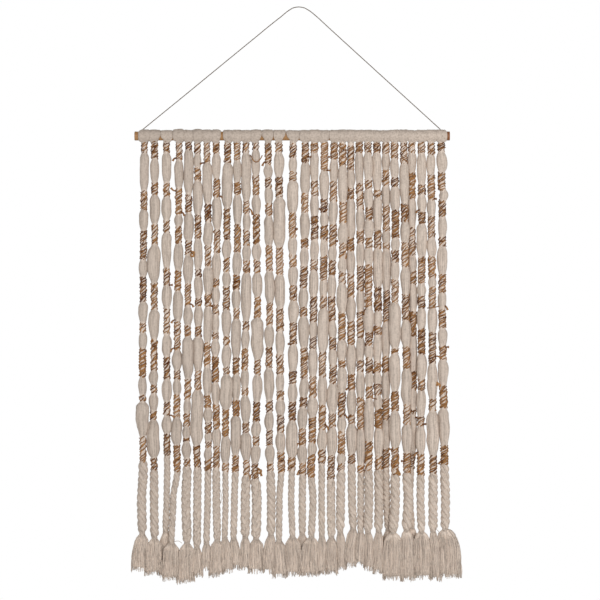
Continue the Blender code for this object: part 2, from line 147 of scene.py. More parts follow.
# A row for each strand, from the left:
# across at the top, tie's depth, tassel's end, rope width, tassel's left and right edge
STRANDS = (
    (-308.6, 795, 870, 18.0, -332.0, -306.2),
    (-288.2, 804, 878, 16.5, -305.4, -277.6),
    (-264.6, 792, 884, 12.2, -281.0, -262.0),
    (-239.4, 813, 890, 12.2, -272.0, -242.2),
    (-220.4, 814, 896, 17.5, -241.4, -212.2),
    (-202.6, 822, 882, 15.4, -211.4, -194.6),
    (-183.8, 814, 869, 12.6, -193.8, -179.0),
    (-165.2, 808, 882, 14.4, -178.2, -152.0),
    (-142.2, 804, 874, 11.4, -151.2, -134.0),
    (-123.4, 803, 866, 13.0, -133.2, -117.0),
    (-105.6, 802, 869, 17.4, -116.2, -99.0),
    (-86.2, 805, 874, 18.4, -98.2, -72.0),
    (-61.4, 796, 875, 17.0, -71.2, -52.4),
    (-40.0, 809, 884, 12.2, -51.6, -25.0),
    (-11.6, 801, 880, 12.2, -24.2, 5.0),
    (13.2, 797, 868, 14.0, -4.0, 16.0),
    (31.2, 802, 882, 13.6, 5.8, 38.0),
    (51.2, 799, 878, 12.4, 38.8, 54.0),
    (70.8, 802, 877, 15.6, 54.8, 76.0),
    (87.4, 791, 870, 17.0, 76.8, 92.0),
    (104.0, 784, 861, 15.6, 92.8, 113.0),
    (120.8, 791, 860, 13.0, 113.8, 131.0),
    (138.4, 791, 869, 17.4, 131.8, 149.6),
    (156.0, 789, 875, 17.4, 150.4, 167.4),
    (174.2, 789, 878, 14.0, 168.0, 190.0),
    (191.2, 793, 889, 18.6, 168.4, 204.6),
    (210.0, 788, 889, 19.4, 205.4, 230.6),
    (226.2, 784, 886, 13.0, 216.0, 238.0),
    (245.6, 791, 887, 15.4, 231.4, 263.6),
    (264.8, 789, 890, 18.0, 264.4, 281.0),
    (284.8, 786, 884, 17.4, 281.8, 322.0),
)

# A row for each strand: its sideways drift from its top at each of the LEVELS, then at the tie
LEVELS = (28, 188, 328, 468, 608, 668, 728)
LEAN = (
    (0, -1.8, -2.8, -3.8, -3.6, -2.6, -5.8, -4.6),
    (0, 0, -1.0, -1.6, -3.4, -1.4, -1.2, -0.4),
    (0, 0, 0.6, 0.6, 0.8, 1.4, 0.4, -2.0),
    (0, -1.0, -2.6, -4.2, -5.0, -3.6, -11.8, -15.2),
    (0, 0, -1.6, -1.2, -4.4, -3.2, -5.4, -3.2),
    (0, 0.8, 1.8, 1.0, -2.0, 0, -0.4, -1.2),
    (0, 2.4, 2.4, 0.6, 3.0, 2.2, 1.4, -0.8),
    (0, 2.0, -1.2, -1.8, 0.8, 0, 0.4, 2.0),
    (0, -1.6, -2.8, -2.4, -4.6, -4.6, -4.2, -5.8),
    (0, 1.0, -1.8, -2.2, -2.6, -3.6, -5.4, -7.0),
    (0, 1.2, 0.6, -2.4, 0, 1.0, -1.4, -1.4),
    (0, 1.4, 3.6, 3.6, 0.6, -1.8, 2.2, 0.6),
    (0, 1.6, 3.4, 1.8, 2.8, 4.8, 6.4, 5.8),
    (0, 1.2, 2.4, 2.4, 3.6, 4.8, 1.2, 0.4),
    (0, -1.0, 0.8, -0.4, -2.2, -2.6, -3.6, -1.2),
    (0, -1.2, -4.0, -2.4, -6.4, -5.4, -6.2, -6.2),
    (0, 0.4, -1.6, -3.0, -4.4, -6.8, -2.8, -5.8),
    (0, -0.4, -2.0, -4.0, -4.2, -5.4, -5.6, -5.2),
    (0, -2.6, -5.2, -2.4, -4.4, -6.4, -6.4, -5.6),
    (0, 1.2, -1.2, -1.2, -1.8, -2.8, -3.8, -4.6),
    (0, -0.8, 0.2, 1.2, 2.0, 1.8, 2.4, 4.6),
    (0, 2.4, 2.6, 2.2, 3.6, 3.6, 3.0, 3.0),
    (0, 1.8, 0.8, 2.4, 2.0, 1.0, 1.6, -0.2),
    (0, 1.6, 2.4, 0.8, 3.6, 3.4, 4.4, 3.6),
    (0, 0.8, 1.8, -0.2, 0.2, 0.2, 1.4, 5.0),
    (0, 2.0, 1.0, 0.8, 1.2, 1.2, 1.4, -2.2),
    (0, 2.4, 3.6, 5.4, 6.4, 6.4, 9.4, 5.4),
    (0, 0.2, 2.6, 2.6, 1.4, -1.8, -3.8, 0.2),
    (0, 0.6, -0.2, 0, -2.0, -1.8, -2.2, -0.4),
    (0, 0.6, 2.4, 2.2, 3.4, 4.0, 3.6, 3.6),
    (0, 2.4, 2.0, 3.6, 6.0, 6.6, 8.6, 7.8),
)

# A row for each strand, with for each jute wrap: its top, its end, the width of the puff below
WRAPS = (
    ((12, 34, 16.5), (110, 148, 17), (188, 248, 17), (282, 332, 17), (374, 394, 15.5),
     (426, 482, 15.5), (520, 532, 24), (602, 652, 18)),
    ((10, 46, 16), (94, 118, 19), (176, 218, 24.5), (294, 348, 20), (408, 468, 17),
     (498, 516, 17.5), (550, 568, 24), (644, 670, 17)),
    ((12, 34, 17.5), (94, 122, 18.5), (168, 194, 18), (264, 298, 18.5), (344, 398, 17),
     (442, 486, 19), (532, 560, 20), (596, 640, 13)),
    ((12, 48, 17), (106, 158, 16), (180, 214, 18), (270, 310, 18), (370, 428, 20),
     (468, 488, 16), (518, 562, 20), (618, 672, 13)),
    ((12, 28, 17.5), (116, 154, 18), (210, 238, 19), (296, 340, 17.5), (380, 402, 21),
     (486, 528, 13.5), (556, 582, 16.5), (604, 612, 18), (644, 662, 17)),
    ((14, 36, 14), (64, 90, 18), (158, 206, 15.5), (266, 282, 16), (324, 340, 17),
     (382, 402, 20.5), (470, 508, 23), (620, 664, 16)),
    ((12, 54, 18), (136, 172, 17.5), (220, 262, 18.5), (316, 342, 16), (412, 462, 17),
     (518, 544, 17), (572, 594, 14), (610, 626, 15), (648, 672, 13)),
    ((12, 36, 16), (86, 124, 17.5), (186, 236, 17.5), (286, 302, 17), (336, 358, 14.5),
     (392, 408, 16.5), (440, 494, 16), (536, 586, 17), (620, 666, 14.5)),
    ((12, 54, 20), (144, 208, 17.5), (244, 272, 15.5), (302, 348, 17.5), (400, 420, 18),
     (462, 478, 23), (546, 600, 18), (654, 672, 12)),
    ((14, 48, 15.5), (94, 118, 17), (178, 232, 17), (278, 308, 16), (346, 366, 18),
     (444, 478, 17), (528, 560, 19), (638, 672, 13.5)),
    ((14, 34, 17.5), (130, 156, 14), (188, 220, 15.5), (250, 274, 18.5), (370, 388, 15.5),
     (426, 468, 15), (504, 520, 19), (574, 594, 21), (650, 680, 17)),
    ((12, 28, 15.5), (80, 120, 16.5), (156, 216, 18), (248, 274, 18), (322, 364, 22),
     (448, 478, 18), (532, 572, 18), (602, 620, 18), (656, 686, 18)),
    ((14, 58, 17), (84, 104, 15.5), (136, 160, 16.5), (220, 270, 18), (334, 380, 17.5),
     (424, 466, 18.5), (530, 552, 17.5), (588, 620, 17.5), (654, 672, 17)),
    ((12, 34, 19), (82, 124, 22), (222, 278, 18.5), (344, 392, 17), (436, 476, 15),
     (510, 528, 18.5), (558, 594, 18.5), (632, 674, 13)),
    ((16, 44, 15.5), (72, 90, 20.5), (154, 204, 17), (236, 262, 17.5), (300, 330, 20),
     (374, 418, 19), (470, 496, 18), (532, 570, 22), (644, 670, 13)),
    ((14, 54, 18), (116, 154, 18.5), (206, 226, 16.5), (260, 306, 18.5), (344, 362, 20),
     (424, 486, 18), (522, 544, 18.5), (586, 620, 18.5), (654, 678, 14)),
    ((14, 34, 15.5), (90, 120, 16), (160, 208, 15.5), (248, 270, 17), (320, 372, 17),
     (402, 426, 17), (480, 524, 20), (562, 614, 17.5), (638, 682, 13)),
    ((14, 70, 18), (126, 154, 15.5), (180, 210, 14), (240, 288, 15), (320, 346, 20),
     (432, 482, 17.5), (538, 588, 19), (628, 656, 13)),
    ((14, 48, 16.5), (92, 132, 17), (176, 222, 16), (250, 280, 17), (320, 372, 16.5),
     (404, 428, 16.5), (458, 496, 22), (554, 584, 19), (640, 688, 16)),
    ((16, 60, 17), (132, 176, 19.5), (214, 246, 17), (272, 296, 20), (354, 408, 19),
     (448, 464, 17.5), (512, 562, 17), (590, 636, 17), (656, 672, 17.5)),
    ((20, 70, 17), (102, 128, 18), (204, 230, 17), (276, 326, 18.5), (370, 418, 19.5),
     (476, 510, 17.5), (558, 578, 21), (638, 656, 15.5)),
    ((14, 34, 15.5), (96, 148, 16.5), (190, 216, 15), (260, 310, 15), (350, 404, 16),
     (448, 474, 16.5), (524, 588, 17), (658, 674, 13)),
    ((14, 36, 17), (88, 106, 17), (144, 168, 17.5), (204, 224, 16.5), (258, 344, 20),
     (394, 420, 18), (444, 474, 16.5), (500, 526, 18), (612, 668, 17.5)),
    ((14, 34, 17), (108, 124, 18), (188, 226, 17.5), (302, 352, 17), (380, 400, 16.5),
     (452, 474, 16), (496, 520, 16), (546, 584, 18), (640, 668, 17)),
    ((14, 36, 15.5), (68, 100, 17), (140, 190, 16), (214, 228, 17.5), (310, 372, 17.5),
     (442, 474, 16), (526, 568, 17), (626, 666, 14)),
    ((14, 46, 16), (84, 102, 18), (150, 204, 16), (228, 252, 16), (288, 334, 22),
     (424, 436, 20), (510, 552, 21), (624, 678, 18.5)),
    ((14, 56, 17.5), (136, 172, 18), (212, 264, 18), (316, 370, 19), (422, 466, 19.5),
     (538, 578, 20), (634, 674, 20)),
    ((14, 34, 17), (72, 126, 16), (184, 240, 15.5), (270, 298, 16.5), (350, 402, 15.5),
     (472, 508, 15.5), (546, 558, 15.5), (638, 668, 13)),
    ((14, 36, 17), (96, 118, 17), (152, 176, 19), (242, 296, 17), (320, 346, 17),
     (386, 436, 19), (486, 510, 17), (562, 582, 19), (634, 680, 15.5)),
    ((14, 38, 16), (78, 128, 16.5), (160, 204, 18.5), (242, 284, 15.5), (302, 344, 18),
     (394, 456, 19), (526, 550, 23), (640, 676, 18)),
    ((14, 32, 19.5), (72, 110, 17.5), (128, 162, 16), (202, 222, 18.5), (278, 314, 15.5),
     (348, 386, 17), (420, 448, 19), (500, 546, 19.5), (620, 658, 17.5)),
)

# Strands pressed before or behind a neighbour: strand number, then pairs of how far down and
# how far back
PUSHED = {
    2: ((480, 0), (560, 5), (650, 5), (740, 0)),
    3: ((760, 0), (830, 19)),
    5: ((340, 0), (400, -4), (460, -4), (520, 0)),
    7: ((200, 0), (270, -4), (440, -4), (520, 0)),
    9: ((420, 0), (480, -4), (560, -4), (640, 0)),
    16: ((760, 0), (830, 19)),
    18: ((320, 0), (370, -4), (430, -4), (480, 0)),
    20: ((14, 0), (50, -4), (340, -4), (400, 0)),
    21: ((14, 0), (50, 4), (640, 4), (700, 0)),
    23: ((14, 0), (50, -5), (760, -5), (830, 0)),
    25: ((14, 0), (50, 5), (740, 7), (830, 19)),
    26: ((14, 0), (50, -3), (760, -3), (830, 0)),
    28: ((14, 0), (60, 7), (560, 8), (660, 15), (790, 16), (830, 20)),
}

# Gaps in the header that show the wood: the strand at the gap's left, how far down the gap
# starts to open (above the dowel's centre line it is negative), and its width at the top
HEADER_GAPS = {
    2: (-4, 0.0),
    3: (3, 0.0),
    8: (0, 4.4),
    12: (-5, 0.0),
    13: (0, 0.0),
    14: (-9, 0.6),
    15: (3, 0.0),
    18: (2, 0.0),
}

# Loose jute ends: strand, how far down, the side it leaves on, how far it reaches out, how
# far it drops, and its tone from dark 0 to gold 1
LOOSE_ENDS = (
    (3, 298, 1, 4, 0, 0.3), (3, 558, 1, 8, 6, 0.4), (4, 44, -1, 5, 6, 0.2), (4, 110, -1, 8, -6, 0.5),
    (4, 152, 1, 4, 8, 0.2), (4, 368, -1, 5, 6, 0.4), (4, 424, -1, 6, 8, 0.4), (5, 231, 1, 10, 8, 0.9),
    (5, 336, 1, 4, 6, 0.4), (7, 54, -1, 6, 2, 0.1), (8, 120, 1, 4, 4, 0.3), (11, 146, 1, 5, 12, 0.4),
    (12, 664, 1, 6, 16, 0.9), (12, 676, -1, 3, 10, 0.5),
    (13, 52, -1, 4, 8, 0.3), (15, 186, 1, 2, 0, 0.3), (15, 416, -1, 2, 0, 0.3), (16, 42, 1, 4, 0, 0.2),
    (16, 614, -1, 4, 6, 0.5), (16, 668, -1, 3, 10, 0.5), (18, 69, 1, 6, 0, 0.4), (18, 146, -1, 2, 0, 0.3),
    (18, 578, 1, 5, 10, 0.4), (19, 42, -1, 4, 0, 0.4), (19, 210, 1, 2, 0, 0.4), (20, 558, 1, 3, 6, 0.4),
    (21, 504, -1, 3, 4, 0.4), (23, 346, -1, 2, 12, 0.1), (24, 380, -1, 4, 24, 0.3), (26, 626, -1, 6, 0, 0.4),
    (26, 668, 1, 2, 10, 0.9), (27, 650, -1, 4, 0, 0.3), (28, 563, 1, 4, 0, 0.2), (29, 148, -1, 4, 6, 0.4),
    (29, 576, 1, 2, 0, 0.3), (29, 632, -1, 5, 8, 0.4), (30, 126, 1, 2, 0, 0.4), (30, 440, 1, 12, 6, 0.5),
    (30, 492, 1, 8, 8, 0.95), (31, 340, 1, 3, 8, 0.5), (31, 422, 1, 4, 0, 0.4), (31, 650, -1, 4, 6, 0.4),
)

# Puffs that hang out to one side: strand, how far down, half the length, how far to the right
BULGES = (
    (2, 256, 20, -2.4), (31, 118, 12, 4.0), (31, 56, 14, 1.6), (30, 60, 16, -1.4),
)

# Balls of knotted jute: strand, across, down, radius and tone
KNOTS = (
    (5, -212.0, 238, 5.2, 0.85), (12, -78.6, 671, 5.8, 0.7), (4, -243.0, 212, 4.4, 0.4),
    (30, 276.0, 497, 3.6, 0.95), (26, 201.0, 676, 3.4, 0.9), (16, 11.4, 48, 6.8, 0.2),
    (17, 31.4, 169, 6.6, 0.5),
)

# Jute threads in front of the strands: from across, down to across, down, with tone and sag
CROSSINGS = (
    (134.4, 518, 156.0, 526, 0.3, 1), (150.4, 578, 164.4, 584, 0.4, 1), (156.4, 552, 200.4, 538, 0.4, 1),
    (256.4, 344, 280.4, 340, 0.4, 1), (-190.0, 664, -158.0, 640, 0.3, 1),
    (-188.0, 654, -160.0, 632, 0.6, 1), (-184.0, 668, -160.0, 652, 0.4, 1), (-97.0, 38, -73.0, 39, 0.45, 14),
)

# Stray cotton yarns: strand, across and down at the start, the bow and the end
STRAYS = (
    (1, -318.0, 812, -333.0, 826, -334.0, 868), (1, -322.0, 826, -336.0, 836, -331.0, 860),
    (31, 298.0, 786, 312.0, 786, 318.5, 815), (31, 300.0, 790, 315.0, 800, 316.0, 830),
    (4, -250.0, 812, -240.0, 806, -234.0, 814), (10, -118.0, 790, -108.0, 794, -106.0, 806),
    (8, -160.0, 700, -152.0, 716, -156.0, 734), (30, 272.0, 784, 284.0, 792, 286.0, 806),
)

# The hanging cord's route: across from the hook, and down from the top of its centre line
CORD_ROUTE = (
    (-312.0, 244.9), (-233.0, 180.6), (-155.0, 116.6), (-77.6, 53.2), (-57.2, 36.4), (-36.8, 20.4),
    (-20.4, 7.2), (-11.2, 1.9), (0.0, 0.0), (10.2, 1.6), (20.4, 7.0), (34.6, 18.2), (55.0, 36.9),
    (82.4, 62.0), (150.0, 123.6), (217.0, 184.6), (283.2, 244.9),
)
CORD_RINGS = 700
CORD_TURN = 5.2   # half the length in which its two plies go once around

# How far apart the yarn pattern of two tubes is taken, so that neighbours differ
TUBE_SHIFT = 37.0


def length(name, default, description):
    return FloatProperty(name=name, description=description, default=default, min=0.0, precision=5,
                         unit="LENGTH", subtype="DISTANCE")


def colour(name, default, description):
    return FloatVectorProperty(name=name, description=description, default=default, size=3,
                               min=0.0, max=1.0, subtype="COLOR")


class HangingSizes(bpy.types.PropertyGroup):
    """Sizes that a maker could change without moving a strand."""

    jute_thread: length("Jute thread", 0.0022, "Thickness of the jute thread")
    jute_lead: length("Jute climb", 0.026, "How far a jute thread climbs in one turn")
    cord_thickness: length("Cord", 0.002, "Thickness of the hanging cord")
    tassel_yarn: length("Tassel yarn", 0.0015, "Thickness of one loose cotton yarn")
    tie_thread: length("Tie", 0.0016, "Thickness of the cotton tie above a tassel")
    header_cotton: length("Header", 0.0024, "Thickness of the cotton that covers the dowel")
    rope_plies: IntProperty(name="Rope plies", description="Plies twisted into each rope",
                            default=3, min=2, max=5)
    jute_threads: IntProperty(name="Jute threads", description="Threads side by side in a wrap",
                              default=5, min=1, max=8)
    camera_distance: length("Camera", 6.0, "Distance of the camera from the hanging")
    picture_height: length("Picture", 1.2, "Height of the picture at the hanging")


class HangingColours(bpy.types.PropertyGroup):
    """Colours of the hanging's finishes."""

    cotton: colour("Cotton", (0.64, 0.54, 0.46), "Undyed cotton yarn")
    # The darker cotton: the mottle's darker fibres, and the painted shade between the yarns
    cotton_shade: colour("Cotton shade", (0.27, 0.22, 0.18), "Cotton between the fibres")
    # The darkest jute fibres, also used for the painted shade in the grooves of the twist
    jute_dark_and_shade: colour("Dark jute", (0.09, 0.024, 0.007), "The darkest jute fibres")
    jute: colour("Jute", (0.33, 0.125, 0.04), "Jute twine")
    jute_gold: colour("Golden jute", (0.66, 0.36, 0.15), "The lightest jute fibres")
    wood: colour("Wood", (0.45, 0.255, 0.105), "The dowel's wood")
    wood_grain: colour("Wood grain", (0.25, 0.09, 0.026), "The wood's darker grain")
    cord: colour("Cord", (0.15, 0.115, 0.085), "The hanging cord")
    floor: colour("Floor", (0.8, 0.8, 0.79), "The floor far below")
    wall_light: colour("Surroundings", (1.0, 1.0, 1.0), "Light from behind the hanging")
    front_glow: colour("Front glow", (0.86, 0.86, 0.86), "Soft light from the viewer's side")
    side_glow: colour("Side glow", (0.52, 0.52, 0.52), "Light from the rest of the room")


class Wire:
    """A socket of a node tree. Sums, differences and products of wires and numbers add Math
    nodes."""

    def __init__(self, tree, socket):
        self.tree, self.socket = tree, socket

    def maths(self, operation, first, second):
        return self.tree.node("ShaderNodeMath", {0: first, 1: second}, operation=operation)

    def __add__(self, other):
        return self.maths("ADD", self, other)

    __radd__ = __add__

    def __sub__(self, other):
        return self.maths("SUBTRACT", self, other)

    def __rsub__(self, other):
        return self.maths("SUBTRACT", other, self)

    def __mul__(self, other):
        return self.maths("MULTIPLY", self, other)

    __rmul__ = __mul__

    def wave(self):
        """A sine of the wire, moved to run from 0 to 1."""
        return self.maths("SINE", self, 0.0) * 0.5 + 0.5


class Tree:
    """Wraps a node tree, with one method that adds any node."""

    def __init__(self, nodes_and_links):
        self.tree = nodes_and_links

    def node(self, kind, inputs=None, output=0, stops=None, **settings):
        made = self.tree.nodes.new(kind)
        for key, value in settings.items():
            setattr(made, key, value)
        for place, shade in enumerate(stops or ()):
            ramp = made.color_ramp.elements
            stop = ramp[place] if place < len(ramp) else ramp.new(1.0)
            stop.position, stop.color = shade[0], (*shade[1], 1.0)
        for key, value in (inputs or {}).items():
            self.feed(made.inputs[key], value)
        return Wire(self, made.outputs[output])

    def feed(self, socket, value):
        if isinstance(value, Wire):
            self.tree.links.new(value.socket, socket)
        else:
            socket.default_value = value

    def blend(self, share, first, second):
        """A colour that goes from the first to the second as share goes from 0 to 1."""
        return self.node("ShaderNodeMix", {0: share, 6: first, 7: second}, output=2,
                         data_type="RGBA", clamp_factor=True)

    def noise(self, vector, scale, detail=3.0):
        return self.node("ShaderNodeTexNoise", {"Vector": vector, "Scale": scale, "Detail": detail})

    def stretched(self, vector, across, along, third=1.0):
        """The vector with its first two parts multiplied, for a pattern longer one way."""
        return self.node("ShaderNodeMapping", {"Vector": vector, "Scale": (across, along, third)})


class Finish(Tree):
    """A material with a Principled shader."""

    def __init__(self, name, roughness):
        self.material = bpy.data.materials.new(name)
        self.material.use_nodes = True
        super().__init__(self.material.node_tree)
        self.shader = self.tree.nodes["Principled BSDF"]
        self.shader.inputs["Roughness"].default_value = roughness

    def yarn_places(self):
        """Places on a yarn in centimetres: around it, then along it."""
        return self.node("ShaderNodeUVMap", uv_map="yarn")

    def tone(self):
        return self.node("ShaderNodeAttribute", output=2, attribute_name="tone")

    def set(self, name, value):
        self.feed(self.shader.inputs[name], value)

    def bump(self, height, strength, distance):
        self.set("Normal", self.node("ShaderNodeBump", {"Height": height, "Strength": strength,
                                                        "Distance": distance}))


def opaque(rgb):
    return (*rgb, 1.0)


def cotton_finish(colours, name="soft_cotton", lines=1.0, mottle=0.2):
    """Soft matt cotton: fine yarns lie side by side along the strand, with a slow random drift
    of tone, painted shade between the yarns, and a mottle of short fibres. lines and mottle
    say how much the yarns and the short fibres show."""
    finish = Finish(name, 0.92)
    places = finish.yarn_places()
    around = finish.node("ShaderNodeSeparateXYZ", {0: places})
    place = finish.node("ShaderNodeTexCoord", output=3)
    drift = finish.noise(finish.stretched(places, 0.35, 0.25), 1.0) - 0.5
    bundles = finish.noise(finish.stretched(places, 4.2, 0.11), 1.0, 2.0) - 0.5
    streaks = finish.noise(finish.stretched(places, 8.0, 0.6), 1.0, 3.0) - 0.5
    fibres = finish.noise(finish.stretched(places, 30.0, 7.0), 1.0, 2.0) - 0.5
    sway = finish.noise(finish.stretched(places, 1.5, 0.6), 1.0)
    fluff = finish.noise(place, 260.0, 4.0) - 0.5
    yarns = (around * 30.0 + sway * 9.0).wave()
    # Painted shade: the cotton between the yarns, where 1 - yarns is high, is darkened
    dark = ((bundles * 1.7 + streaks * 0.9 + (1.0 - yarns) * 0.2) * lines + drift * 0.6
            + fluff * (mottle * 4.0) + fibres * 0.3 + 0.1)
    light = finish.blend(finish.tone(), opaque([c * 0.78 for c in colours.cotton]),
                         opaque([c * 1.38 for c in colours.cotton]))
    finish.set("Base Color", finish.blend(dark, light, opaque(colours.cotton_shade)))
    finish.bump((yarns * 0.5 + streaks + bundles) * lines + fibres * 0.3 + fluff * (mottle * 3.0),
                0.6, 0.0009)
    finish.set("Specular IOR Level", 0.1)
    return finish.material


def loops_finish(colours):
    """The cotton of the header loops, fluffed up by the folding."""
    return cotton_finish(colours, "looped_cotton", 0.2, 0.4)


def jute_finish(colours):
    """Coarse jute: dark to golden fibres twisted into a thread, with the twist as slanting
    ridges and painted shade in the grooves between them."""
    finish = Finish("jute_thread", 0.85)
    places = finish.yarn_places()
    around = finish.node("ShaderNodeSeparateXYZ", {0: places})
    along = finish.node("ShaderNodeSeparateXYZ", {0: places}, output=1)
    patches = finish.noise(finish.stretched(places, 0.6, 1.1), 1.0, 3.0)
    fibres = finish.noise(finish.stretched(places, 14.0, 5.0), 1.0, 3.0)
    twist = (along * 22.0 + around * 9.8).wave()
    shade = finish.tone() * 0.6 + (patches - 0.5) * 2.7 + (fibres - 0.5) * 0.5 + 0.15
    ramp = finish.node("ShaderNodeValToRGB", {0: shade}, stops=(
        (0.0, colours.jute_dark_and_shade), (1.0, colours.jute_gold), (0.48, colours.jute)))
    # Painted shade: the grooves between the twist's ridges are darkened towards the darkest jute
    finish.set("Base Color", finish.blend((1.0 - twist) * 0.3, ramp, opaque(colours.jute_dark_and_shade)))
    finish.bump(twist * 0.7 + fibres * 0.6, 0.6, 0.0005)
    finish.set("Specular IOR Level", 0.2)
    return finish.material


def wood_finish(colours):
    """Satin wood: grain drawn out along the dowel, growth rings on its ends, and a darker
    right-hand end."""
    finish = Finish("grained_wood", 0.5)
    place = finish.node("ShaderNodeTexCoord", output=3)
    across = finish.node("ShaderNodeSeparateXYZ", {0: place})
    grain = finish.noise(finish.stretched(place, 14.0, 420.0, 420.0), 1.0, 4.0)
    pores = finish.noise(finish.stretched(place, 90.0, 2400.0, 2400.0), 1.0, 2.0)
    centred = finish.node("ShaderNodeMapping", {"Vector": place, "Scale": (0.0, 1.0, 1.0),
                                                "Location": (0.0, 0.004, DOWEL_DROP * MM - 0.002)})
    distance = finish.node("ShaderNodeVectorMath", {0: centred}, output=1, operation="LENGTH")
    rings = (distance * 4200.0 + grain * 3.0).wave()
    # The wood is darker over the last few millimetres of the right-hand end
    darker_end = finish.node("ShaderNodeMapRange", {0: across, 1: DOWEL_RIGHT * MM - 0.009,
                                               2: DOWEL_RIGHT * MM - 0.003})
    dark = grain * 0.7 + rings * 0.25 + pores * 0.2 - 0.25 + darker_end * 1.1
    finish.set("Base Color", finish.blend(dark, opaque(colours.wood), opaque(colours.wood_grain)))
    finish.set("Roughness", 0.42 + pores * 0.25)
    finish.bump(pores * 0.6 + grain * 0.4, 0.25, 0.0004)
    return finish.material


def cord_finish(colours):
    """Twine of two plies: the plies are in the mesh, the fibres here."""
    finish = Finish("twisted_twine", 0.85)
    places = finish.yarn_places()
    fibres = finish.noise(finish.stretched(places, 20.0, 6.0), 1.0, 3.0)
    drift = finish.noise(finish.stretched(places, 0.5, 0.8), 1.0)
    dark = fibres * 0.6 + drift * 0.5 - 0.3
    finish.set("Base Color", finish.blend(dark, opaque([c * 1.2 for c in colours.cord]),
                                          opaque([c * 0.6 for c in colours.cord])))
    finish.bump(fibres, 0.4, 0.0003)
    return finish.material


def floor_finish(colours):
    """A pale matt floor with a faint mottle."""
    finish = Finish("pale_floor", 0.9)
    place = finish.node("ShaderNodeTexCoord", output=3)
    mottle = finish.noise(place, 3.0)
    finish.set("Base Color", finish.blend(mottle, opaque(colours.floor),
                                          opaque([c * 0.95 for c in colours.floor])))
    return finish.material


FINISHES = {"soft_cotton": cotton_finish, "looped_cotton": loops_finish,
            "jute_thread": jute_finish, "grained_wood": wood_finish,
            "twisted_twine": cord_finish, "pale_floor": floor_finish}


def finish_named(context, name):
    """The material of that name, made the first time it is asked for."""
    return bpy.data.materials.get(name) or FINISHES[name](context.scene.hanging_colours)


def along_path(path, side, across, deep):
    """Rings of a tube: each ring lies square to its path, and its points are the path's point
    plus across times the side direction plus deep times the third direction. path and side are
    (tubes, rings, 3), across and deep are (tubes, rings, points) or broadcast to it. Points run
    anticlockwise about the way that the path goes."""
    forward = np.gradient(path, axis=1)
    forward /= np.linalg.norm(forward, axis=2, keepdims=True)
    third = np.cross(forward, side)
    third /= np.linalg.norm(third, axis=2, keepdims=True)
    square = np.cross(third, forward)
    return (path[:, :, None, :] + across[..., None] * square[:, :, None, :]
            + deep[..., None] * third[:, :, None, :])


def turns(sides):
    """Angles that part a whole turn evenly."""
    return math.tau * np.arange(sides) / sides


def circle(sides):
    """The cosines and the sines of those angles."""
    return np.cos(turns(sides)), np.sin(turns(sides))


def outward(turn):
    """Level directions away from a centre line, 0 to the front and growing to the right."""
    return np.stack([np.sin(turn), -np.cos(turn), np.zeros_like(turn)], axis=-1)


def facing(axis, shape):
    """The direction of the axis 0 or 1, +X or +Y, as the side direction of tubes along paths
    of that shape."""
    side = np.zeros(shape)
    side[..., axis] = 1.0
    return side


def eased(at, knots, values):
    """A curve through the knots that levels out at each: 3t^2 - 2t^3 between two of them."""
    knots, values = np.asarray(knots, float), np.asarray(values, float)
    at = np.clip(at, knots[0], knots[-1])
    k = np.clip(np.searchsorted(knots, at, side="right") - 1, 0, len(knots) - 2)
    t = (at - knots[k]) / (knots[k + 1] - knots[k])
    return values[k] + (values[k + 1] - values[k]) * t * t * (3 - 2 * t)


def ripple(rng, at, period, size):
    """A gentle random wave of at: three sines of about that period, with random phases. at may
    have any shape, and its first axis then gets phases of its own."""
    tubes = at.shape[0]
    shape = (tubes,) + (1,) * (at.ndim - 1)
    total = np.zeros_like(at, dtype=float)
    for share in (0.6, 1.0, 1.7):
        phase = rng.uniform(0, math.tau, tubes).reshape(shape)
        total += np.sin(math.tau * at / (period * share) + phase)
    return size * total / 3


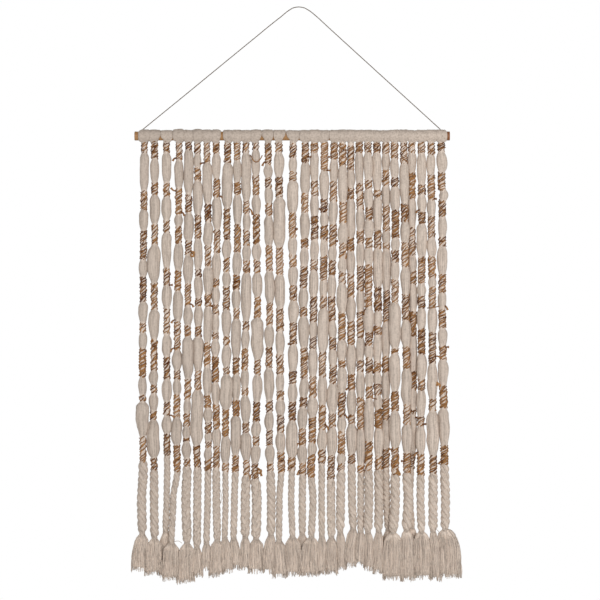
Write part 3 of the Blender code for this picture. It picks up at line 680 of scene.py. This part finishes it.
class Skein:
    """Gathers closed tubes into one mesh."""

    def __init__(self, name):
        self.name = name
        self.points, self.tones, self.faces, self.places = [], [], [], []
        self.count = 0

    def add(self, points, tone):
        """Tubes with the same number of rings, as an array (tubes, rings, sides, 3) in
        millimetres, with a tone for each tube, or for each of its rings. Their ends are closed
        with flat caps, and each tube starts at its own place of the pattern."""
        tubes, rings, sides, _ = points.shape
        numbers = self.count + np.arange(tubes * rings * sides).reshape(tubes, rings, sides)
        self.count += numbers.size
        middle = points.mean(axis=2)
        along = np.zeros((tubes, rings))
        along[:, 1:] = np.cumsum(np.linalg.norm(np.diff(middle, axis=1), axis=2), axis=1)
        girth = np.linalg.norm(np.diff(points, axis=2, append=points[:, :, :1]), axis=3).sum(2)
        around = girth.max(axis=1)[:, None] * np.arange(sides + 1) / sides
        around = around + TUBE_SHIFT * np.arange(tubes)[:, None]
        right = np.roll(numbers, -1, axis=2)
        quads = np.stack([numbers[:, :-1], right[:, :-1], right[:, 1:], numbers[:, 1:]], axis=-1)
        place = np.empty((tubes, rings - 1, sides, 4, 2))
        place[..., 0, 0] = place[..., 3, 0] = around[:, None, :-1]
        place[..., 1, 0] = place[..., 2, 0] = around[:, None, 1:]
        place[..., 0, 1] = place[..., 1, 1] = along[:, :-1, None]
        place[..., 2, 1] = place[..., 3, 1] = along[:, 1:, None]
        self.faces.append(quads.reshape(-1, 4))
        self.places.append(place.reshape(-1, 2))
        for ring, j in ((numbers[:, 0, ::-1], 0), (numbers[:, -1], -1)):
            self.faces.append(ring)
            flat = (points[:, j] - middle[:, j, None])[..., :2] + along[:, j, None, None]
            self.places.append((flat[:, ::-1] if j == 0 else flat).reshape(-1, 2))
        self.points.append(points.reshape(-1, 3))
        tone = np.asarray(tone, dtype=float).reshape(np.shape(tone) + (1,) * (2 - np.ndim(tone)))
        self.tones.append(np.repeat(np.broadcast_to(tone, (tubes, rings)).ravel(), sides))

    def thread(self, path, side, half, sides, tone, deep=1.0):
        """Tubes with an even section along the paths: half their thickness is one number, or
        one for each ring as (tubes, rings, 1), and deep stretches them in the third direction."""
        cos, sin = circle(sides)
        self.add(along_path(path, side, half * cos[None, None], half * sin[None, None] * deep),
                 tone)

    def finish(self, context, finish, slot, nodes=()):
        """Makes the piece, gives it its finish and lets it ride on the frame."""
        mesh = bpy.data.meshes.new(self.name)
        points = np.concatenate(self.points) * MM
        mesh.vertices.add(len(points))
        mesh.vertices.foreach_set("co", points.astype(np.float32).ravel())
        corners = np.concatenate([f.ravel() for f in self.faces]).astype(np.int32)
        sizes = np.concatenate([np.full(len(f), f.shape[1]) for f in self.faces])
        starts = np.concatenate([[0], np.cumsum(sizes)[:-1]]).astype(np.int32)
        mesh.loops.add(len(corners))
        mesh.loops.foreach_set("vertex_index", corners)
        mesh.polygons.add(len(starts))
        mesh.polygons.foreach_set("loop_start", starts)
        mesh.update(calc_edges=True)
        places = mesh.uv_layers.new(name="yarn")
        places.data.foreach_set("uv", (np.concatenate(self.places) / 10).astype(np.float32).ravel())
        tones = mesh.attributes.new("tone", "FLOAT", "POINT")
        tones.data.foreach_set("value", np.concatenate(self.tones).astype(np.float32))
        mesh.materials.append(finish_named(context, finish))
        mesh.shade_smooth()
        piece = bpy.data.objects.new(self.name, mesh)
        context.collection.objects.link(piece)
        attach(piece, BODY)
        if nodes:
            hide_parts(*nodes)
        return piece


class Strand:
    """Where one strand runs, and how wide it is."""

    def __init__(self, number):
        self.number = number
        (self.top, self.tie, self.end, self.rope,
         self.tassel_left, self.tassel_right) = STRANDS[number - 1]
        self.drift = LEAN[number - 1]
        self.wraps = WRAPS[number - 1]
        self.node = f"strand_{number:02d}"
        self.rope_top = self.wraps[-1][1] - ROPE_OVERLAP
        self.coarse = number <= COARSE_STRANDS
        # Painted light: the strands are painted lighter to the right, where the light is stronger.
        self.pale = PAINTED_LIGHT_RIGHT * number / len(STRANDS)
        self.core = CORE_RADIUS if self.coarse else FINE_CORE_RADIUS
        self.shoulders = self.rng("shoulders").uniform(*PUFF_SHOULDERS, (len(self.wraps), 2))

    def rng(self, kind):
        return np.random.default_rng([SEED, self.number, DRAWS.index(kind)])

    def piece(self, word):
        return f"{word}_{self.number:02d}"

    def centre(self, down):
        """The centre line at a depth below the dowel, as points."""
        across = self.top + eased(down, LEVELS + (self.tie,), self.drift)
        back = np.zeros_like(across)
        if self.number in PUSHED:
            back = eased(down, *zip(*PUSHED[self.number]))
        return np.stack([across, back, -DOWEL_DROP - down], axis=-1)

    def half_width(self, down):
        """Narrow in a wrap. In a puff it swells as a quarter sine over a shoulder of its own at
        each end, and stays full between the shoulders."""
        half = np.full_like(down, self.core)
        for wrap, following, shoulders in zip(self.wraps, self.wraps[1:], self.shoulders):
            end, puff, below = wrap[1], wrap[2], following[0]
            upper, lower = np.minimum(shoulders, (below - end) * SHOULDER_SHARE)
            rise = np.sin(math.pi / 2 * np.clip((down - end) / upper, 0, 1))
            fall = np.sin(math.pi / 2 * np.clip((below - down) / lower, 0, 1))
            half += max(puff / 2 + FLUFF - self.core, LEAST_SWELL) * rise * fall
        return half


def all_strands():
    return [Strand(number) for number in range(1, len(STRANDS) + 1)]


def rows_of(table, strand):
    """The strand's own rows of a table, without its number."""
    return [row[1:] for row in table if row[0] == strand.number]


def header_edges(number):
    """The left and right edge of a strand's loop on the dowel, and how far down each edge
    starts to draw in."""
    tops = [row[0] for row in STRANDS]
    between = [COTTON_LEFT] + [(a + b) / 2 for a, b in zip(tops, tops[1:])] + [COTTON_RIGHT]
    edges = []
    for gap, way in ((number - 1, 1), (number, -1)):
        start, width = HEADER_GAPS.get(gap, (ARCH_START, -2 * HEADER_OVERLAP))
        at_end = gap in (0, len(STRANDS))
        edges.append((between[gap] + way * (0 if at_end else width / 2), start))
    return edges


class HANGING_OT_stage(bpy.types.Operator):
    """Adds the floor, the light and the camera in front of the hanging"""

    bl_idname = "hanging.stage"
    bl_label = "Stage"

    def execute(self, context):
        scene, sizes = context.scene, context.scene.hanging_sizes
        colours = scene.hanging_colours
        across, up = 0.0024, -0.585
        camera = bpy.data.objects.new("camera", bpy.data.cameras.new("camera"))
        camera.location = (across, -sizes.camera_distance, up)
        camera.rotation_euler = (math.pi / 2, 0.0, 0.0)
        camera.data.lens = camera.data.sensor_width * sizes.camera_distance / sizes.picture_height
        camera.data.clip_end = 100.0
        scene.collection.objects.link(camera)
        scene.camera = camera
        for name, energy, spread, turn in (("front_light", 1.26, 25, (84, 0, 16)),
                                           ("back_light", 1.5, 40, (-70, 0, 20))):
            lamp = bpy.data.lights.new(name, "SUN")
            lamp.energy, lamp.angle = energy, math.radians(spread)
            light = bpy.data.objects.new(name, lamp)
            light.rotation_euler = [math.radians(a) for a in turn]
            scene.collection.objects.link(light)
        scene.view_settings.view_transform = "Standard"
        self.surroundings(scene, colours)
        self.floor(context)
        return {"FINISHED"}

    def surroundings(self, scene, colours):
        """A soft glow, brightest from the viewer's side, and a white wall straight behind the
        hanging: both go by the direction's y, which is 1 straight behind it. The glow is dimmer
        from above, and goes by the direction's z for that."""
        glow_fades, wall_starts, dim = (-0.9, 0.5), (0.955, 0.98), 0.3
        scene.world = bpy.data.worlds.new("surroundings")
        scene.world.use_nodes = True
        tree = Tree(scene.world.node_tree)
        background = tree.tree.nodes["Background"]
        direction = tree.node("ShaderNodeTexCoord", output=0)
        back = tree.node("ShaderNodeSeparateXYZ", {0: direction}, output=1)
        front = tree.node("ShaderNodeMapRange", {0: back, 1: glow_fades[1], 2: glow_fades[0]})
        glow = tree.blend(front, opaque(colours.side_glow), opaque(colours.front_glow))
        above = tree.node("ShaderNodeSeparateXYZ", {0: direction}, output=2)
        glow = tree.blend(above, glow, opaque([c * dim for c in colours.side_glow]))
        wall = tree.node("ShaderNodeMapRange", {0: back, 1: wall_starts[0], 2: wall_starts[1]})
        tree.feed(background.inputs[0], tree.blend(wall, glow, opaque(colours.wall_light)))

    def floor(self, context):
        """A round floor, its rim at one radius from its centre, well below the hanging."""
        low, high = (np.array(corner) for corner in CAD_BOX)
        centre, radius, sides, below = (low + high) / 2, 1.4, 96, 0.45
        x, y = circle(sides)
        level = low[2] - below
        rim = np.stack([centre[0] + radius * x, centre[1] + radius * y, np.full(sides, level)], 1)
        mesh = bpy.data.meshes.new("floor")
        mesh.from_pydata(rim.tolist(), [], [tuple(range(sides))])
        mesh.materials.append(finish_named(context, "pale_floor"))
        floor = bpy.data.objects.new("floor", mesh)
        context.scene.collection.objects.link(floor)


class HANGING_OT_dowel(bpy.types.Operator):
    """Turns the wooden dowel, with rounded rims and flat ends"""

    bl_idname = "hanging.dowel"
    bl_label = "Dowel"

    def execute(self, context):
        """A circle carried along the axis: at each end its radius grows as a quarter circle
        over the rim, and past it stays the dowel's."""
        rim, steps, sides = 0.8, 6, 64
        turn = np.linspace(0, math.pi / 2, steps)
        bare = np.array([9.0, 40.0])
        inward = np.concatenate([rim - rim * np.cos(turn), bare])
        radius = np.concatenate([DOWEL_RADIUS - rim + rim * np.sin(turn), [DOWEL_RADIUS] * 2])
        across = np.concatenate([DOWEL_LEFT + inward, (DOWEL_RIGHT - inward)[::-1]])
        radius = np.concatenate([radius, radius[::-1]])
        path = np.zeros((1, len(across), 3))
        path[0, :, 0], path[0, :, 2] = across, -DOWEL_DROP
        rod = Skein("dowel_rod")
        rod.thread(path, facing(1, path.shape), radius[None, :, None], sides, 0.5)
        piece = rod.finish(context, "grained_wood", "dowel_wood", ["dowel"])
        piece.data.set_sharp_from_angle(angle=math.radians(50))
        return {"FINISHED"}


class HANGING_OT_cord(bpy.types.Operator):
    """Lays the thin twisted cord over the wall hook's place"""

    bl_idname = "hanging.cord"
    bl_label = "Hanging cord"

    def execute(self, context):
        """Two plies turn about the centre line: a ring's radius is half the thickness times a
        waist, plus the rest times the size of the cosine of the angle to the plies."""
        sizes = context.scene.hanging_sizes
        thick = sizes.cord_thickness / MM
        route = smooth_route(CORD_ROUTE, CORD_RINGS)
        path = np.zeros((1, CORD_RINGS, 3))
        path[0, :, 0], path[0, :, 2] = route[:, 0], thick / 2 - route[:, 1]
        run = np.linalg.norm(np.diff(path[0], axis=0), axis=1).sum()
        twist = math.tau * np.linspace(0, run / CORD_TURN / 2, CORD_RINGS)[:, None]
        waist, turn = 0.74, turns(10)
        radius = thick / 2 * (waist + (1 - waist) * np.abs(np.cos(turn - twist)))[None]
        cord = Skein("cord")
        cord.add(along_path(path, facing(1, path.shape), radius * np.cos(turn),
                            radius * np.sin(turn)), 0.5)
        piece = cord.finish(context, "twisted_twine", "cord_yarn", ["hanging_cord"])
        return {"FINISHED"}


def smooth_route(route, count):
    """Points evenly spaced along a curve that passes smoothly through the route's own points:
    between two of them it is the cubic whose slope at each is that of the chord past it."""
    knots = np.array(route, dtype=float)
    spans = np.linalg.norm(np.diff(knots, axis=0), axis=1)
    at = np.concatenate([[0.0], np.cumsum(spans)])
    slopes = np.gradient(knots, at, axis=0)
    where = np.linspace(0.0, at[-1], count)
    k = np.clip(np.searchsorted(at, where, side="right") - 1, 0, len(spans) - 1)
    t = ((where - at[k]) / spans[k])[:, None]
    h = spans[k][:, None]
    return (knots[k] * (2 * t**3 - 3 * t**2 + 1) + knots[k + 1] * (3 * t**2 - 2 * t**3)
            + slopes[k] * h * (t**3 - 2 * t**2 + t) + slopes[k + 1] * h * (t**3 - t**2))


class HANGING_OT_header(bpy.types.Operator):
    """Folds each strand's cotton over the dowel"""

    bl_idname = "hanging.header"
    bl_label = "Header loops"

    def execute(self, context):
        for strand in all_strands():
            self.loop(context, strand)
        return {"FINISHED"}

    def loop(self, context, strand):
        """A flat band on a path that goes up behind the dowel, half a turn over it and down in
        front, and draws in to the strand's neck below. Its section is a superellipse: the
        powers of the cosine and sine of the angle around it, with soft bumps on the outside.
        A coarse strand's loop is rounder and crowned: it is proud as one less the square of
        the way from its middle to its edge."""
        rng = strand.rng("header")
        thick = context.scene.hanging_sizes.header_cotton / MM * rng.uniform(0.95, 1.6)
        slack, neck_half, edge_power, bump = 0.25, 3.0, 0.35, 0.7
        power = 0.9 if strand.coarse else 0.55
        reach = DOWEL_RADIUS + slack + thick / 2
        leg = np.linspace(LEG_END, 0.0, 12)
        neck = eased(leg, (0.0, LEG_END), (reach, LEG_FROM_CENTRE))
        over = np.linspace(0, math.pi, 17)[1:-1]
        back = np.concatenate([neck, reach * np.cos(over), -neck[::-1]])
        down = np.concatenate([leg, -reach * np.sin(over), leg[::-1]])
        (left, left_start), (right, right_start) = header_edges(strand.number)
        centre = strand.centre(np.maximum(down, 0))[:, 0]
        pinch = CORE_RADIUS + 0.7
        left_edge = eased(down, (left_start, ARCH_END), (left, strand.top - pinch))
        right_edge = eased(down, (right_start, ARCH_END), (right, strand.top + pinch))
        cut = CORNER_CUT * np.clip((-down - 3) / 9, 0, 1) ** 2
        left_edge += cut * (strand.number == 1)
        right_edge -= cut * (strand.number == len(STRANDS))
        path = np.stack([(left_edge + right_edge) / 2 + centre - strand.top, back,
                         -DOWEL_DROP - down], axis=-1)[None]
        half = ((right_edge - left_edge) / 2)[:, None]
        deep = eased(down, (0, LEG_END), (thick / 2, neck_half))[:, None]
        sides = 32
        cos, sin = circle(sides)
        run = np.linspace(0, 90, len(down))
        bumps = sum(np.sin(k * turns(sides) + ripple(rng, run[None], 26, 4)[0][:, None])
                    for k in (5, 8, 11)) / 3
        across = half * np.sign(cos) * np.abs(cos) ** edge_power
        crown = rng.uniform(0.3, 1.5) * (1 - (across / half) ** 2) if strand.coarse else 0.0
        proud = (deep * np.sign(sin) * np.abs(sin) ** power
                 + np.where(sin > 0, bump * bumps + crown, 0) * sin)
        loop = Skein(strand.piece("header"))
        loop.add(along_path(path, facing(0, path.shape), across[None], proud[None]),
                 rng.uniform(0.02, 0.14) + strand.pale)
        loop.finish(context, "looped_cotton", "cotton", [strand.node])


class HANGING_OT_puffs(bpy.types.Operator):
    """Puffs the cotton out between the jute wraps"""

    bl_idname = "hanging.puffs"
    bl_label = "Cotton puffs"

    def execute(self, context):
        for strand in all_strands():
            self.body(context, strand)
        return {"FINISHED"}

    def body(self, context, strand):
        """A tube down the centre line whose half width follows the wraps and puffs. Soft lobes
        go around it: a sum of sines of a few times the angle, each with a phase that drifts
        along. A bulge shifts it to the side as a bell curve."""
        rng = strand.rng("puffs")
        turn, spacing, end = turns(18), 3.6, strand.rope_top + 6
        down = np.linspace(BODY_TOP, end, int((end - BODY_TOP) / spacing))
        half = strand.half_width(down) * (1.02 + ripple(rng, down[None, :], 22, 0.025)[0])
        swell = np.maximum(half - strand.core, 0)[:, None]
        lobes = sum(np.sin(k * turn + ripple(rng, down[None, :], 130, 5)[0][:, None])
                    for k in (2, 3, 5)) / 3
        wide = half[:, None] + swell * LOBE_SHARE * lobes
        deep = half[:, None] - swell * (1 - PUFF_DEPTH_SHARE) + swell * LOBE_SHARE * lobes
        path = strand.centre(down)[None]
        path[0, :, 0] += ripple(rng, down[None, :], 60, 0.55)[0] * swell[:, 0] / 3
        for place, size, right in rows_of(BULGES, strand):
            path[0, :, 0] += right * np.exp(-((down - place) / size) ** 2)
        body = Skein(strand.piece("puffs"))
        own = rng.uniform(0.26, 0.42) + strand.pale
        # Where the cotton does not swell, under a wrap, its tone is 1: paler than in the puffs
        tone = 1.0 + (own - 1.0) * np.clip(swell[:, 0] / 1.5, 0, 1)
        body.add(along_path(path, facing(0, path.shape), wide[None] * np.cos(turn),
                            deep[None] * np.sin(turn)), tone[None])
        body.finish(context, "soft_cotton", "cotton", [strand.node])


class HANGING_OT_wraps(bpy.types.Operator):
    """Winds the jute around the strands, with its loose ends"""

    bl_idname = "hanging.wraps"
    bl_label = "Jute wraps"

    def execute(self, context):
        for strand in all_strands():
            jute = Skein(strand.piece("jute"))
            rng = strand.rng("jute")
            for top, end, _ in strand.wraps:
                self.wrap(context, strand, jute, rng, top, end)
            for row in rows_of(LOOSE_ENDS, strand):
                self.loose_end(strand, jute, *row)
            for row in rows_of(KNOTS, strand):
                self.knot(strand, jute, rng, *row)
            jute.finish(context, "jute_thread", "jute", [strand.node])
        self.crossings(context)
        return {"FINISHED"}

    def wind(self, strand, jute, rng, turn, down, proud, thick, tone):
        """Threads on a cylinder about the centre line, with a ripple in and out and one in
        thickness: turn and down are (threads, rings), and turn is 0 at the front and grows to
        the right."""
        reach = (strand.core + proud + ripple(rng, down + turn * 9, 31, 0.5)
                 + ripple(rng, down + turn * 5, 9, 0.9))
        out = outward(turn)
        path = strand.centre(down) + reach[..., None] * out
        half = (thick[:, None] / 2 * (1 + ripple(rng, down + turn * 7, 14, 0.35)))[..., None]
        jute.thread(path, out, half, 4, tone, deep=1.12)

    def wrap(self, context, strand, jute, rng, top, end):
        """Threads in steep helices that rise to the right in front, each with a start and an
        end of its own, over a few dark ones that are painted shade between them. Some wraps
        have one more thread over them, nearly level or wound the other way, and some long ones
        are massed with thicker threads. Right of the coarse strands the threads are finer. The
        wraps below the header are painted darker, as shade under it, and the strand's painted
        light from the right lifts all of them a little."""
        sizes = context.scene.hanging_sizes
        top = max(top - 1, FIRST_TOP)
        lead = sizes.jute_lead / MM * rng.uniform(*CLIMB_RANGE)
        thin = sizes.jute_thread / MM * (1.0 if strand.coarse else FINE_SHARE)
        count = sizes.jute_threads + (0 if strand.coarse else FINE_THREADS)
        # Painted shade darkens the wraps under the header; painted light lifts those to the right
        mood = rng.uniform(*TONE_RANGE) + strand.pale / 2 - PAINTED_HEADER_SHADE * (top == FIRST_TOP)
        massed = MASSED if rng.random() < MASSED_CHANCE and end - top > MASSED_LENGTH else 1.0
        # Columns: threads, climb in a turn, how proud, share of the thickness, tone
        families = [(count, lead, 0.8, massed, mood)]
        kind = rng.random()
        if kind < LEVEL_CHANCE:
            families.append((1, lead * 0.4, 1.3, 0.8, mood))
        elif kind < LEVEL_CHANCE + CROSSED_CHANCE:
            families.append((1, -lead, 1.4, 0.7, mood))
        # Dark threads sunk under the others: painted shade in the gaps between the jute threads
        if count > FEWER_SHADE_THREADS:
            families.append((count - FEWER_SHADE_THREADS, lead * 1.06, -0.3, 0.6, mood - 0.4))
        for count, climb, proud, share, tone in families:
            rings = max(5, int((end - top) / abs(climb) * 10) + 2)
            start = top + rng.uniform(*THREAD_ENDS, count)[:, None]
            stop = end - rng.uniform(*THREAD_ENDS, count)[:, None]
            down = start + (stop - start) * np.linspace(0, 1, rings)
            first = math.tau * (np.arange(count) + rng.uniform(-0.35, 0.35, count)) / count
            turn = ((first + rng.uniform(0, math.tau))[:, None] - math.tau * (down - top) / climb
                    + ripple(rng, down, 22, 0.7))
            thick = thin * share * rng.uniform(*THREAD_THICKNESS, count)
            self.wind(strand, jute, rng, turn, down, proud, thick,
                      tone + rng.uniform(*THREAD_TONES, count))

    def loose_end(self, strand, jute, down, side, reach, drop, tone):
        """A thread that leaves the wrap sideways on a curve: out as a power of its way, and
        down as its square. It frays, and so thickens as the cube of its way."""
        way = np.linspace(0, 1, 9)
        root, hidden, before, back = 4.5, 3.0, 5.6, 2.2
        half, frayed = 1.7, 1.1
        start = strand.centre(np.array([float(down)]))[0]
        path = np.stack([start[0] + side * (root + (reach + hidden) * way**0.7),
                         start[1] - before + back * way, start[2] - drop * way**2], axis=-1)[None]
        jute.thread(path, facing(1, path.shape), (half + frayed * way**3)[None, :, None], 6, tone)

    def knot(self, strand, jute, rng, across, down, size, tone):
        """A thread balled up: each coordinate is a sine of its own whole number, and the whole
        is pushed out onto a ball."""
        way = np.linspace(0, math.tau, 90)
        path = np.stack([np.sin(2 * way + 1), np.sin(3 * way), np.sin(5 * way + 2)], axis=-1)
        out = (path / np.linalg.norm(path, axis=1, keepdims=True))[None]
        reach = (size - KNOT_THREAD) * (1 + ripple(rng, way[None], 2, 0.2))[..., None]
        before = 5.0
        depth = strand.centre(np.array([float(down)]))[0, 1] - before
        middle = np.array([across, depth, -DOWEL_DROP - down])
        jute.thread(middle + reach * out, out, KNOT_THREAD, 5, tone)

    def crossings(self, context):
        """Threads before the strands from one to another: down along a parabola whose middle
        sags, and back towards both ends as the square of the way there."""
        jute = Skein("jute_crossings")
        way = np.linspace(0, 1, 12)
        before, back = 9.2, 2.0
        for x0, down0, x1, down1, tone, sag in CROSSINGS:
            path = np.stack([x0 + (x1 - x0) * way, -before + back * np.abs(2 * way - 1) ** 2,
                             -DOWEL_DROP - down0 - (down1 - down0) * way
                             - 4 * sag * way * (1 - way)], axis=-1)[None]
            jute.thread(path, facing(1, path.shape), KNOT_THREAD, 5, tone)
        jute.finish(context, "jute_thread", "jute")


class HANGING_OT_ropes(bpy.types.Operator):
    """Twists each strand into a rope and ties it off"""

    bl_idname = "hanging.ropes"
    bl_label = "Ropes and ties"

    def execute(self, context):
        for strand in all_strands():
            self.rope(context, strand)
        return {"FINISHED"}

    def rope(self, context, strand):
        """Plies carried round each other. In a twist each ply goes round a circle and falls to
        the right in front. In a plait it goes across as a sine and back and forth as a sine of
        half the length, so that the plies cross over and under."""
        sizes = context.scene.hanging_sizes
        rng = strand.rng("rope")
        plies, spacing, sides = sizes.rope_plies, 2.4, 10
        low = strand.tie + 4
        down = np.linspace(strand.rope_top, low, int((low - strand.rope_top) / spacing))
        full = strand.rope / 2
        half = eased(down, (strand.rope_top, strand.rope_top + ROPE_SWELL, strand.tie - TIE_REACH,
                            strand.tie, low), (CORE_RADIUS, full, full, TIE_HALF_WIDTH, TIE_HALF_WIDTH))
        half = half * (1 + ripple(rng, down[None], 40, 0.05)) + FLUFF
        lead = plies * (PLY_STEP + PLY_STEP_SHARE * strand.rope)
        phase = math.tau * (down / lead + np.arange(plies)[:, None] / plies)
        phase = phase + ripple(rng, down[None], 90, 0.6)
        plaited = strand.number in PLAITED
        across, back, wide, deep = PLAITED_PLY if plaited else TWISTED_PLY
        path = strand.centre(down)[None] + np.zeros((plies, 1, 1))
        path[..., 0] += across * np.sin(phase) * half
        path[..., 1] += back * (np.sin(2 * phase) if plaited else -np.cos(phase)) * half
        cos, sin = circle(sides)
        rope = Skein(strand.piece("rope"))
        rope.add(along_path(path, facing(0, path.shape), wide * half[..., None] * cos,
                            deep * half[..., None] * sin),
                 rng.uniform(0.3, 0.5, plies) + strand.pale)
        self.tie(sizes, strand, rope)
        rope.finish(context, "soft_cotton", "cotton", [strand.node])

    def tie(self, sizes, strand, rope):
        """A thread wound twice around the rope's neck, as a level helix."""
        windings, rings = 2.2, 44
        half = sizes.tie_thread / MM / 2
        turn = np.linspace(0, math.tau * windings, rings)
        down = strand.tie - half * 2 + turn / math.tau * half * 2
        out = outward(turn)
        path = (strand.centre(down) + (TIE_HALF_WIDTH + half * 0.4) * out)[None]
        rope.thread(path, out[None], half, 6, 0.35)


class HANGING_OT_tassels(bpy.types.Operator):
    """Lets the cotton yarns loose below each tie"""

    bl_idname = "hanging.tassels"
    bl_label = "Tassels"

    def execute(self, context):
        for strand in all_strands():
            self.tassel(context, strand)
        return {"FINISHED"}

    def spread(self, strand, depth):
        """Centre, half width and half depth of the tassel at depths below its tie: it swells
        as a quarter sine over its shoulder, then widens slowly to its end."""
        full = strand.end - strand.tie
        shoulder, flare, loose, loosened = 0.94, 0.06, 1.0, 2.0
        swell = np.sin(math.pi / 2 * np.clip(depth / TASSEL_SHOULDER, 0, 1))
        share = shoulder * swell + flare * depth / full
        half = (strand.tassel_right - strand.tassel_left) / 2 + loose + loosened * depth / full
        tie = strand.centre(np.array([float(strand.tie)]))[0]
        foot = strand.centre(np.array([float(strand.end)]))[0]
        foot[0] = (strand.tassel_left + strand.tassel_right) / 2
        shift = eased(depth, (0.0, TASSEL_SHIFT), (0.0, 1.0))[..., None]
        centre = tie * (1 - shift) + foot * shift
        centre[..., 2] = -DOWEL_DROP - strand.tie - depth
        return (centre, TIE_HALF_WIDTH + (half - TIE_HALF_WIDTH) * share,
                TIE_HALF_WIDTH + (TASSEL_HALF_DEPTH - TIE_HALF_WIDTH) * share)

    def tassel(self, context, strand):
        """A filled core, an outer and an inner layer of yarns, and the strays."""
        rng = strand.rng("tassel")
        tassel = Skein(strand.piece("tassel"))
        self.core(strand, tassel)
        thick = context.scene.hanging_sizes.tassel_yarn / MM
        half = (strand.tassel_right - strand.tassel_left) / 2
        around = math.tau * math.sqrt((half**2 + TASSEL_HALF_DEPTH**2) / 2)
        crowding, inner_share, inner_layer = 1.15, 0.6, 0.78
        outer = int(around / thick * crowding)
        for count, layer in ((outer, 1.0), (int(outer * inner_share), inner_layer)):
            self.yarns(strand, tassel, rng, count, layer, thick)
        for row in rows_of(STRAYS, strand):
            self.stray(tassel, row)
        tassel.finish(context, "soft_cotton", "cotton", [strand.node])

    def core(self, strand, tassel):
        """The yarns that don't show, as one filled form a little inside the rest."""
        inside, above, short = 1.7, 2.0, 9
        depth = np.linspace(-above, strand.end - strand.tie - short, 12)
        centre, wide, deep = self.spread(strand, np.maximum(depth, 0))
        centre[:, 2] = -DOWEL_DROP - strand.tie - depth
        cos, sin = circle(16)
        path = centre[None]
        tassel.add(along_path(path, facing(0, path.shape), (wide - inside)[None, :, None] * cos,
                              (deep - inside)[None, :, None] * sin), 1.0)

    def yarns(self, strand, tassel, rng, count, layer, thick):
        """Thin tubes from the tie down, each at its own angle about the tassel's centre, with
        a length of its own. They part into locks, and each lock and yarn strays its own way, by
        a power of the depth."""
        rings, sides, locks = 9, 3, 9
        past_end, lock_cut, yarn_cut, inner_cut = 3.0, 12, 6.0, 6
        lock_stray, yarn_stray = 1.5, 0.8
        angle = math.tau * (np.arange(count) + rng.uniform(-0.4, 0.4, count)) / count
        lock = (angle / math.tau * locks).astype(int) % locks
        full = strand.end - strand.tie
        reach = (full + past_end - rng.uniform(0, lock_cut, locks)[lock]
                 - rng.uniform(0, 1, count) ** 2 * yarn_cut - (1 - layer) * inner_cut)
        depth = np.linspace(0, 1, rings)[None] ** 0.8 * reach[:, None]
        centre, wide, deep = self.spread(strand, depth)
        loose = (depth / full) ** 1.3
        lock_way = rng.normal(0, lock_stray, locks)[lock][:, None]
        wander_x = ripple(rng, depth, 45, 1.8) + lock_way + rng.normal(0, yarn_stray, (count, 1))
        wander_y = ripple(rng, depth, 45, 1.4)
        half = thick / 2
        path = centre
        path[..., 0] += layer * (wide - half) * np.cos(angle)[:, None] + wander_x * loose
        path[..., 1] += layer * (deep - half) * np.sin(angle)[:, None] + wander_y * loose
        width = half * rng.uniform(0.8, 1.3, (count, 1)) * (1 - 0.1 * (depth / full) ** 4)
        # Painted light: the yarns are painted paler than the other cotton, against the shade between them
        tassel.thread(path, facing(0, path.shape), width[..., None], sides,
                      rng.uniform(0.75, 2.0, count) + strand.pale)

    def stray(self, tassel, row):
        """A yarn on a quadratic curve from its start to its end, pulled towards its bow."""
        before, half = 7.0, 0.55
        start, bow, end = (np.array([row[k], -before, -DOWEL_DROP - row[k + 1]])
                           for k in (0, 2, 4))
        way = np.linspace(0, 1, 12)[:, None]
        path = (start * (1 - way) ** 2 + 2 * bow * way * (1 - way) + end * way**2)[None]
        tassel.thread(path, facing(1, path.shape), half, 4, 0.3)


OPERATORS = (HANGING_OT_stage, HANGING_OT_dowel, HANGING_OT_cord, HANGING_OT_header,
             HANGING_OT_puffs, HANGING_OT_wraps, HANGING_OT_ropes, HANGING_OT_tassels)


class HANGING_PT_pieces(bpy.types.Panel):
    """Lists the sizes, the colours and the pieces"""

    bl_idname = "HANGING_PT_pieces"
    bl_label = "Yarn Wall Hanging"
    bl_space_type = "VIEW_3D"
    bl_region_type = "UI"
    bl_category = "Hanging"

    def draw(self, context):
        layout = self.layout
        for group in (context.scene.hanging_sizes, context.scene.hanging_colours):
            box = layout.box()
            for name in type(group).__annotations__:
                box.prop(group, name)
        for operator in OPERATORS:
            layout.operator(operator.bl_idname)


CLASSES = (HangingSizes, HangingColours, *OPERATORS, HANGING_PT_pieces)


def register():
    for cls in CLASSES:
        bpy.utils.register_class(cls)
    bpy.types.Scene.hanging_sizes = PointerProperty(type=HangingSizes)
    bpy.types.Scene.hanging_colours = PointerProperty(type=HangingColours)


def unregister():
    del bpy.types.Scene.hanging_colours
    del bpy.types.Scene.hanging_sizes
    for cls in reversed(CLASSES):
        bpy.utils.unregister_class(cls)


def main():
    register()
    for operator in OPERATORS:
        group, name = operator.bl_idname.split(".")
        getattr(getattr(bpy.ops, group), name)()


if __name__ == "__main__":
    main()
